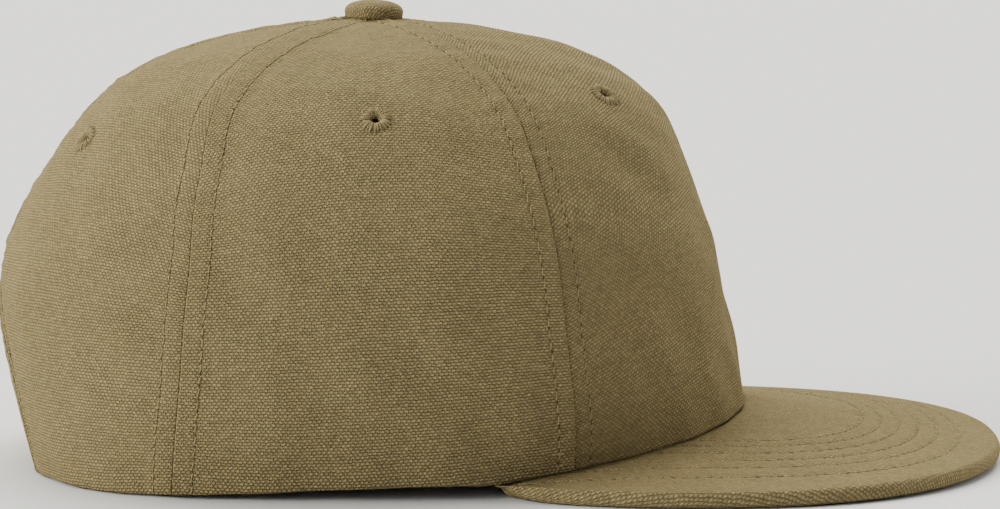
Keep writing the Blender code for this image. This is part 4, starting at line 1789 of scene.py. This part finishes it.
    def sew(self, face: Array, under: Array, rows_at: list[tuple[Array, int]], counts: list[int]) -> None:
        """Sew the stitch rows into both faces.

        Args:
            face: the upper points, by row and column.
            under: the lower points.
            rows_at: the columns and the row of the grid that each stitch row keeps to.
            counts: the number of stitches in each.
        """
        tubes = TubeSet()
        for number, grid in enumerate((face, under)):
            ways = unit(np.cross(np.gradient(grid, axis=0), np.gradient(grid, axis=1)))
            ways *= np.sign(ways[..., 2:]) * (1.0 - 2.0 * number)
            for row, (kept, line) in enumerate(rows_at):
                path = Path(grid[line, kept], ways[line, kept])
                self.stitch.sew(tubes, path, self.row_seed(row), counts[row])
        finish_piece("brim_stitches", tubes.close(), self.wardrobe.sewn)


@dataclass
class Button:
    """The covered button on the crown's top."""

    form: CrownForm
    wardrobe: Wardrobe
    radius: float = 7.85 * MM
    height: float = 5.1 * MM
    forward: float = 0.75 * MM
    tuck: float = 0.35 * MM
    square: float = 2.25
    side: float = 1.3 * MM
    foot: float = 0.985
    weave_turn: float = 0.7
    tilt: float = 1.6
    steps: int = 96
    rows: int = 26
    pleats: int = 14
    pleat_depth: float = 0.14 * MM
    pleat_waver: float = 0.8
    pleat_top: float = 1.7 * MM
    pleat_fade: float = 1.4 * MM
    pleat_from: float = 3.0 * MM
    tuck_rows: int = 4
    waist: float = 0.6
    waist_drop: float = 0.1 * MM
    post_end: float = -1.5 * MM

    def profile(self) -> list[tuple[float, float]]:
        """Draw the section of the button and its post.

        Returns:
            Points outward and upward, from the top round to the post's end.
        """
        gap = self.form.gap
        tuck = gap + self.tuck
        shoulder = tuck + self.side
        rounded = 2.0 / self.square
        points = [(0.0, self.height)]
        for row in range(1, self.rows + 1):
            turn = 0.5 * math.pi * row / self.rows
            dome = self.height - gap - self.tuck - self.side
            upward = dome * math.cos(turn) ** rounded if row < self.rows else 0.0
            points.append((self.radius * math.sin(turn) ** rounded, shoulder + upward))
        foot = self.foot * self.radius
        points += [(0.5 * (self.radius + foot), tuck + 0.5 * self.side), (foot, tuck)]
        for row in range(1, self.tuck_rows + 1):
            turn = 0.5 * math.pi * row / self.tuck_rows
            across = foot - self.tuck * (1.0 - math.cos(turn))
            points.append((across, gap + self.tuck * (1.0 - math.sin(turn))))
        post = self.form.post_radius
        return points + [(self.waist * self.radius, gap - self.waist_drop), (post, gap),
                         (post, self.post_end), (0.0, self.post_end)]

    def build(self) -> None:
        """Build the button with its post."""
        profile = self.profile()
        shape = bmesh.new()
        spin_profile(shape, profile, self.steps, False)
        bmesh.ops.remove_doubles(shape, verts=shape.verts, dist=WELD)
        arcs = run_length(np.array(profile), 0)
        layer = shape.loops.layers.uv.new(CLOTH_UV)
        for corner in shape.verts:
            x, y, z = corner.co
            across = math.hypot(x, y)
            misses = [math.hypot(across - out, z - upward) for out, upward in profile]
            arc = arcs[misses.index(min(misses))]
            turn = math.atan2(y, x)
            drawn = (arc * math.cos(turn + self.weave_turn), arc * math.sin(turn + self.weave_turn))
            for loop in corner.link_loops:
                loop[layer].uv = drawn
            low = float(ease((self.pleat_top - z) / self.pleat_fade))
            low *= float(ease((across - self.pleat_from) / self.pleat_from))
            pleat = math.cos(self.pleats * turn + self.pleat_waver * math.sin(3.0 * turn))
            pull = self.pleat_depth * low * (0.5 + 0.5 * pleat)
            corner.co.x -= pull * math.cos(turn)
            corner.co.y -= pull * math.sin(turn)
        stand = Matrix.Translation((0.0, -self.forward, self.form.height))
        stand = stand @ Matrix.Rotation(math.radians(self.tilt), 4, "X")
        bmesh.ops.transform(shape, matrix=stand, verts=shape.verts)
        finish_piece("top_button_cloth", shape, [self.wardrobe.canvas], "top_button", 70.0)


@dataclass
class ArchBinding:
    """The folded strip that binds the arch at the back, stitched through both faces."""

    form: CrownForm
    wardrobe: Wardrobe
    arch: ArchForm = field(default_factory=ArchForm)
    steps: int = 150
    foot_height: float = 0.18
    foot_until: float = 34.0 * MM
    stitch: StitchForm = StitchForm(pitch=3.0 * MM)
    stitch_lifts: tuple[float, float] = (0.50, -1.64)
    line_steps: int = 720
    wave: float = 0.07 * MM
    section: tuple[tuple[float, float], ...] = (
        (6.2, -0.1), (6.1, 0.22), (5.8, 0.42), (5.2, 0.48), (4.6, 0.34), (4.0, 0.52), (3.0, 0.66),
        (1.6, 0.70), (0.7, 0.62), (0.1, 0.34), (-0.3, -0.1), (-0.42, -0.6), (-0.3, -1.1), (0.1, -1.5),
        (0.7, -1.72), (3.0, -1.74), (4.1, -1.72), (4.6, -1.6), (5.1, -1.72), (5.9, -1.68), (6.1, -1.3),
        (5.4, -1.14), (1.5, -1.1), (1.2, -0.6), (1.5, -0.1), (5.4, -0.08))

    def spot(self, turn: Array, grown: Array, lift: Array) -> tuple[Array, Array]:
        """Return points near the arch, and the crown's normals there.

        Args:
            turn: angles along the arch, 0 and pi at its feet.
            grown: distances from its edge over the cloth.
            lift: heights over the crown's face.

        Returns:
            The points and the normals.
        """
        x = (self.arch.half_width + grown) * np.cos(turn)
        share = self.form.share_at((self.arch.height + grown) * np.sin(turn))
        azimuth = np.full_like(x, 180.0)
        for _ in range(4):
            azimuth = 180.0 + np.degrees(np.arcsin(x / self.form.radius(azimuth, share)))
        normal = self.form.normal(azimuth, share)
        climb = ease((self.arch.height + grown) * np.sin(turn) / self.foot_until)
        low = np.where(lift > 0.0, lift * (self.foot_height + (1.0 - self.foot_height) * climb), lift)
        return self.form.point(azimuth, share) + normal * low[..., None], normal

    def build(self) -> None:
        """Build the strip and its stitches."""
        even = np.linspace(0.0, math.pi, self.line_steps + 1)
        line, _ = self.spot(even, 0.0 * even, 0.0 * even)
        lengths = run_length(line, 0)
        along = np.linspace(0.0, lengths[-1], self.steps + 1)
        turn = np.interp(along, lengths, even)[:, None]
        grown, lift = np.array(self.section).T[:, None, :] * MM + 0.0 * turn
        around = lengths[-1] * turn / math.pi + 0.0 * grown
        soft = self.wave * Ripple(451, 3.0 * MM, 10.0 * MM).over(around, grown)
        rings, _ = self.spot(turn + 0.0 * grown, grown, lift + soft)
        strip = TubeSet(len(self.section))
        girth = run_length(np.concatenate([rings, rings[:, :1]], axis=1), 1)
        strip.add_rings(rings, 0, girth[0], along)
        finish_piece("arch_binding", strip.close(), [self.wardrobe.canvas])
        tubes = TubeSet()
        for number, depth in enumerate(self.stitch_lifts):
            flat = np.ones(self.steps + 1)
            points, normals = self.spot(turn[:, 0], flat * self.arch.stitch_offset, flat * depth * MM)
            self.stitch.sew(tubes, Path(points, normals * (1.0 - 2.0 * number)), 460 + number)
        finish_piece("arch_stitches", tubes.close(), self.wardrobe.sewn)


class CrownPatch:
    """A small frame that stands on the crown's face and follows its bend."""

    rounds = 4

    def __init__(self, form: CrownForm, azimuth: float, height: float) -> None:
        """Stand the frame.

        Args:
            form: the crown's form.
            azimuth: where it stands.
            height: how high its middle is.
        """
        self.form = form
        self.azimuth = azimuth
        self.share = float(form.share_at(height))
        self.centre = form.point(azimuth, self.share)
        outward = form.normal(azimuth, self.share)
        across = unit(np.cross(np.array([0.0, 0.0, 1.0]), outward))
        self.axes = np.stack([across, np.cross(outward, across), outward])

    def bend(self, points: Array) -> Array:
        """Find where points of the frame lie once they follow the face.

        Args:
            points: the points, in the frame.

        Returns:
            The points on the crown.
        """
        form = self.form
        azimuth = np.full(points.shape[:-1], self.azimuth)
        share = np.full(points.shape[:-1], self.share)
        for _ in range(self.rounds):
            here = (form.point(azimuth, share) - self.centre) @ self.axes.T
            around = (form.point(azimuth + form.probe_azimuth, share) - self.centre) @ self.axes.T
            upward = (form.point(azimuth, share + form.probe_share) - self.centre) @ self.axes.T
            around = (around - here) / form.probe_azimuth
            upward = (upward - here) / form.probe_share
            miss = points - here
            spread = around[..., 0] * upward[..., 1] - around[..., 1] * upward[..., 0]
            azimuth = azimuth + (miss[..., 0] * upward[..., 1] - miss[..., 1] * upward[..., 0]) / spread
            share = share + (around[..., 0] * miss[..., 1] - around[..., 1] * miss[..., 0]) / spread
        return form.point(azimuth, share) + form.normal(azimuth, share) * points[..., 2:]


@dataclass
class Eyelet:
    """One worked eyelet: a ring of threads round a hole, on both faces of the cloth."""

    form: CrownForm
    wardrobe: Wardrobe
    place: EyeletPlace
    shape: EyeletForm
    seed: int
    wall: float = 1.15 * MM
    sides: int = 7
    outs: tuple[float, ...] = (0.98, 1.12, 1.42, 1.95, 2.6, 3.3, 3.9, 4.2)
    rises: tuple[float, ...] = (-1.25, -0.75, -0.18, 0.36, 0.62, 0.52, 0.16, -0.45)
    widths: tuple[float, ...] = (0.55, 0.62, 0.75, 0.95, 1.1, 1.15, 1.0, 0.6)
    turn_stray: float = 0.16
    lean_stray: float = 0.09
    reach_stray: float = 0.26 * MM
    width_stray: float = 0.12
    rise_stray: float = 0.04 * MM
    lining_flat: float = 0.5 * MM
    ring: tuple[tuple[float, float], ...] = (
        (1.08, -1.25), (1.26, -0.78), (1.58, -0.24), (2.1, 0.2), (2.9, 0.38), (3.8, -0.12))
    ring_steps: int = 40
    ring_under: float = -0.3

    def build(self) -> None:
        """Build the ring and its threads."""
        patch = CrownPatch(self.form, self.place.azimuth, self.place.rise * self.form.height)
        tubes = TubeSet(self.sides)
        draw = np.random.RandomState(self.seed)
        seat = -self.shape.dimple
        for face in (1.0, -1.0):
            for number in range(self.shape.threads):
                rings = self.thread_rings(number, draw, seat)
                if face < 0.0:
                    raised = np.maximum(rings[..., 2], seat - self.lining_flat)
                    rings[..., 2] = -self.wall + 2.0 * seat - raised
                tubes.add_rings(patch.bend(rings))
        tubes.close()
        self.add_ring(tubes.shape, patch, seat)
        name = self.place.name
        finish_piece(name + "_thread", tubes.shape, [self.wardrobe.embroidery], name)

    def thread_rings(self, number: int, draw: np.random.RandomState, seat: float) -> Array:
        """Lay one thread from the hole out over the ring.

        Args:
            number: the thread's number.
            draw: the source of its small differences.
            seat: how high the cloth lies there.

        Returns:
            The rings of the thread, in the eyelet's frame.
        """
        turn = 2.0 * math.pi * (number + draw.normal(0.0, self.turn_stray)) / self.shape.threads
        lean = draw.normal(0.0, self.lean_stray)
        reach = self.shape.radius + draw.normal(0.0, self.reach_stray)
        width = self.shape.thread_radius * draw.normal(1.0, self.width_stray)
        out = np.array(self.outs) * MM
        out = out * (1.0 + (out / out[-1]) * (reach / out[-1] - 1.0))
        rise = np.array(self.rises) * MM + draw.normal(0.0, self.rise_stray)
        angle = turn + lean * out / self.shape.radius
        raised = self.shape.hole_rise * (1.0 - out / reach)
        line = np.stack([out * np.cos(angle), out * np.sin(angle) + raised, rise + seat], -1)
        side = np.stack([-np.sin(angle), np.cos(angle), 0.0 * angle], -1)
        upward = np.cross(unit(np.gradient(line, axis=0)), side)
        turns = 2.0 * math.pi * np.arange(self.sides) / self.sides
        wide = width * np.array(self.widths)
        rings = line[:, None, :] + side[:, None, :] * (wide[:, None] * np.cos(turns))[..., None]
        return rings + upward[:, None, :] * (width * np.sin(turns))[None, :, None]

    def add_ring(self, shape: Shape, patch: CrownPatch, seat: float) -> None:
        """Add the padded ring that the threads wrap.

        Args:
            shape: where it is added.
            patch: the eyelet's frame.
            seat: how high the cloth lies there.
        """
        low = -self.wall / MM
        profile = [(out * MM, rise * MM + seat) for out, rise in self.ring]
        profile += [(out * MM, (low - max(rise, self.ring_under)) * MM + seat)
                    for out, rise in reversed(self.ring)]
        before = set(shape.verts)
        spin_profile(shape, profile, self.ring_steps, True)
        added = [corner for corner in shape.verts if corner not in before]
        flat = np.array([corner.co[:] for corner in added])
        inward = 1.0 - np.hypot(flat[:, 0], flat[:, 1]) / self.shape.radius
        flat[:, 1] += self.shape.hole_rise * np.maximum(inward, 0.0)
        for corner, point in zip(added, patch.bend(flat)):
            corner.co = point
        bmesh.ops.remove_doubles(shape, verts=added, dist=WELD)


@dataclass
class BackStrap:
    """The strap inside the back panels, with the slide that closes round it."""

    form: CrownForm
    wardrobe: Wardrobe
    width: float = 20.0 * MM
    thickness: float = 1.8 * MM
    low: float = 2.6 * MM
    tuck: float = 16.0 * MM
    sag: float = 4.4 * MM
    half_width: float = 33.0 * MM
    columns: int = 120
    rows: int = 24
    packing: float = 0.8
    edge_width: float = 0.9 * MM
    edge_round: float = 0.88 * MM
    edge_full: float = 0.97
    stitch_offset: float = 2.2 * MM
    stitch_dip: float = 0.22 * MM
    stitch_spread: float = 0.6 * MM
    wave: float = 0.06 * MM
    slide_length: float = 11.0 * MM
    slide_wall: float = 1.2 * MM
    slide_clearance: float = 0.5 * MM
    slide_square: float = 12.0
    slide_steps: int = 72
    bar_square: float = 6.0
    bar_steps: int = 24
    stitch: StitchForm = StitchForm(pitch=2.9 * MM, radius=0.17 * MM)

    def sag_at(self, from_middle: Array) -> Array:
        """Return how far the taut strap lies inside the crown, for degrees from its middle."""
        edge = math.degrees(math.asin(self.half_width / self.form.back))
        return self.sag * np.maximum(1.0 - (from_middle / edge) ** 2, 0.0)

    def build(self) -> None:
        """Build the strap, its stitches and the slide."""
        form = self.form
        half_angle = math.degrees((self.half_width + self.tuck) / form.back)
        across = np.linspace(-1.0, 1.0, self.columns + 1)[None, :]
        upward = packed_ends(self.rows, self.packing)[:, None]
        share = form.share_at(self.low + self.width * upward) + 0.0 * across
        azimuth = 180.0 + half_angle * across + 0.0 * upward
        depth = form.cloth + form.gap + self.sag_at(half_angle * across) + 0.0 * upward
        point = form.point(azimuth, share)
        normal = form.normal(azimuth, share)
        to_edge = np.minimum(upward, 1.0 - upward) * self.width
        edge = np.clip(1.0 - to_edge / self.edge_width, 0.0, 1.0)
        rounding = self.edge_round * (1.0 - np.sqrt(1.0 - self.edge_full * edge * edge)) + 0.0 * across
        rise = upward * self.width + 0.0 * across
        sewn = (self.stitch_offset, self.width - self.stitch_offset)
        dip = self.stitch_dip * sum(bell(rise - place, self.stitch_spread) for place in sewn)
        soft = self.wave * Ripple(411, 3.0 * MM, 12.0 * MM).over(run_length(point, 1), rise)
        face = point - normal * (depth + rounding + dip + soft)[..., None]
        back = point - normal * (depth + self.thickness - rounding - dip + soft)[..., None]
        shape = ClothSheet(self.columns, self.rows).place(face, back, run_length(face, 1), rise)
        finish_piece("back_strap_cloth", shape, [self.wardrobe.canvas], "back_strap")
        tubes = TubeSet()
        for number, (grid, way) in enumerate(((face, 1.0), (back, -1.0))):
            for place in sewn:
                row = int(np.argmin(np.abs(upward[:, 0] * self.width - place)))
                self.stitch.sew(tubes, Path(grid[row], way * normal[row]), 430 + number + row)
        finish_piece("back_strap_stitches", tubes.close(), self.wardrobe.sewn)
        self.build_slide()

    def build_slide(self) -> None:
        """Build the metal slide as a flat bar bent round the strap."""
        form = self.form
        share = form.share_at(self.low + 0.5 * self.width)
        outward = form.normal(180.0, share)
        depth = form.cloth + form.gap + self.sag + 0.5 * self.thickness
        centre = form.point(180.0, share) - outward * depth
        across = np.array([1.0, 0.0, 0.0])
        upward = np.cross(outward, across)
        upward *= np.sign(upward[2])
        half_deep = 0.5 * self.thickness + self.slide_clearance + 0.5 * self.slide_wall
        half_tall = 0.5 * self.width + self.slide_clearance + 0.5 * self.slide_wall
        turns = 2.0 * math.pi * np.arange(self.slide_steps) / self.slide_steps
        square = self.slide_square
        spread = (np.abs(np.cos(turns)) ** square + np.abs(np.sin(turns)) ** square) ** (-1.0 / square)
        way_up = np.sin(turns) * np.abs(np.sin(turns)) ** 6
        way_out = np.cos(turns) * np.abs(np.cos(turns)) ** 6
        size = np.hypot(way_up, way_out)
        bar = 2.0 * math.pi * (np.arange(self.bar_steps) + 0.5) / self.bar_steps
        square = self.bar_square
        bar_spread = (np.abs(np.cos(bar)) ** square + np.abs(np.sin(bar)) ** square) ** (-1.0 / square)
        along = 0.5 * self.slide_length * bar_spread * np.cos(bar)
        thick = 0.5 * self.slide_wall * bar_spread * np.sin(bar)
        along = np.sign(along) * np.minimum(np.abs(along), 0.5 * self.slide_length)
        up = (half_tall * spread * np.sin(turns))[:, None] + (way_up / size)[:, None] * thick
        out = (half_deep * spread * np.cos(turns))[:, None] + (way_out / size)[:, None] * thick
        rings = centre + across * (along[None, :, None] + 0.0 * up[..., None]) + upward * up[..., None]
        rings = rings + outward * out[..., None]
        tubes = TubeSet(self.bar_steps)
        tubes.add_rings(np.concatenate([rings, rings[:1]]))
        bmesh.ops.remove_doubles(tubes.shape, verts=tubes.shape.verts, dist=FINE_WELD)
        finish_piece("strap_slide_metal", tubes.shape, [self.wardrobe.brass], "strap_slide", 50.0)


@dataclass(frozen=True)
class SoftLight:
    """A soft far light: where it shines from, how wide it is in degrees, its power and its tint."""

    name: str
    source: Triple
    spread: float
    power: float
    tint: Triple

    def build(self) -> None:
        """Hang the light."""
        light = bpy.data.lights.new(self.name, "SUN")
        light.angle = math.radians(self.spread)
        light.energy = self.power
        light.color = self.tint
        lamp = bpy.data.objects.new(self.name, light)
        lamp.location = 2.0 * Vector(self.source)
        lamp.rotation_euler = Vector(self.source).to_track_quat("Z", "Y").to_euler()
        bpy.context.collection.objects.link(lamp)


WARM = (1.0, 0.97, 0.87)
COOL = (0.90, 0.95, 1.0)


@dataclass
class Studio:
    """The floor, the lights and the camera at the photograph's angle."""

    lens: float = 133.35
    camera_at: Triple = (-0.9942, -0.0346, 0.161)
    camera_aim: Triple = (0.0, -0.0346, 0.053)
    clip_start: float = 0.05
    clip_end: float = 30.0
    floor_size: float = 14.0
    floor_drop: float = 0.2 * MM
    floor_colour: Colour = (0.68, 0.69, 0.715, 1.0)
    sky: float = 0.05
    lights: tuple[SoftLight, ...] = (
        SoftLight("top_light", (0.55, 0.08, 0.83), 70.0, 7.2, WARM),
        SoftLight("back_light", (-0.28, 0.93, 0.20), 50.0, 6.0, WARM),
        SoftLight("front_light", (0.32, -0.91, 0.24), 50.0, 2.1, WARM),
        SoftLight("near_light", (-1.0, -0.05, 0.12), 60.0, 0.5, COOL),
    )

    def build(self) -> None:
        """Build the studio."""
        self.build_floor()
        for light in self.lights:
            light.build()
        self.build_sky()
        self.build_camera()

    def build_floor(self) -> None:
        """Lay the plain pale floor."""
        shape = bmesh.new()
        bmesh.ops.create_grid(shape, x_segments=2, y_segments=2, size=0.5 * self.floor_size,
                              matrix=Matrix.Translation((0.0, 0.0, -self.floor_drop)))
        mesh = bpy.data.meshes.new("floor")
        shape.to_mesh(mesh)
        shape.free()
        mesh.materials.append(PlainFinish("pale_floor", self.floor_colour, 0.9, 0.0).build())
        floor = bpy.data.objects.new("floor", mesh)
        bpy.context.collection.objects.link(floor)

    def build_sky(self) -> None:
        """Light the studio evenly from all round."""
        world = bpy.data.worlds.new("studio")
        world.use_nodes = True
        background = world.node_tree.nodes["Background"]
        background.inputs["Color"].default_value = (1.0, 1.0, 1.0, 1.0)
        background.inputs["Strength"].default_value = self.sky
        bpy.context.scene.world = world

    def build_camera(self) -> None:
        """Stand the camera where the photograph's stood."""
        data = bpy.data.cameras.new("camera")
        data.lens = self.lens
        data.clip_start = self.clip_start
        data.clip_end = self.clip_end
        camera = bpy.data.objects.new("camera", data)
        camera.location = self.camera_at
        aim = Vector(self.camera_aim) - Vector(self.camera_at)
        camera.rotation_euler = aim.to_track_quat("-Z", "Y").to_euler()
        bpy.context.collection.objects.link(camera)
        bpy.context.scene.camera = camera


def main() -> None:
    """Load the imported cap, dress it and stand it in the studio."""
    logging.basicConfig(level=logging.INFO, format="%(name)s: %(message)s")
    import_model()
    wardrobe = Wardrobe.build()
    form = CrownForm()
    crown = Crown(form, wardrobe)
    crown.build()
    Brim(form, wardrobe).build()
    Button(form, wardrobe).build()
    for number, place in enumerate(EYELETS):
        Eyelet(form, wardrobe, place, crown.eyelet, 601 + number).build()
    ArchBinding(form, wardrobe).build()
    BackStrap(form, wardrobe).build()
    Studio().build()


if __name__ == "__main__":
    main()
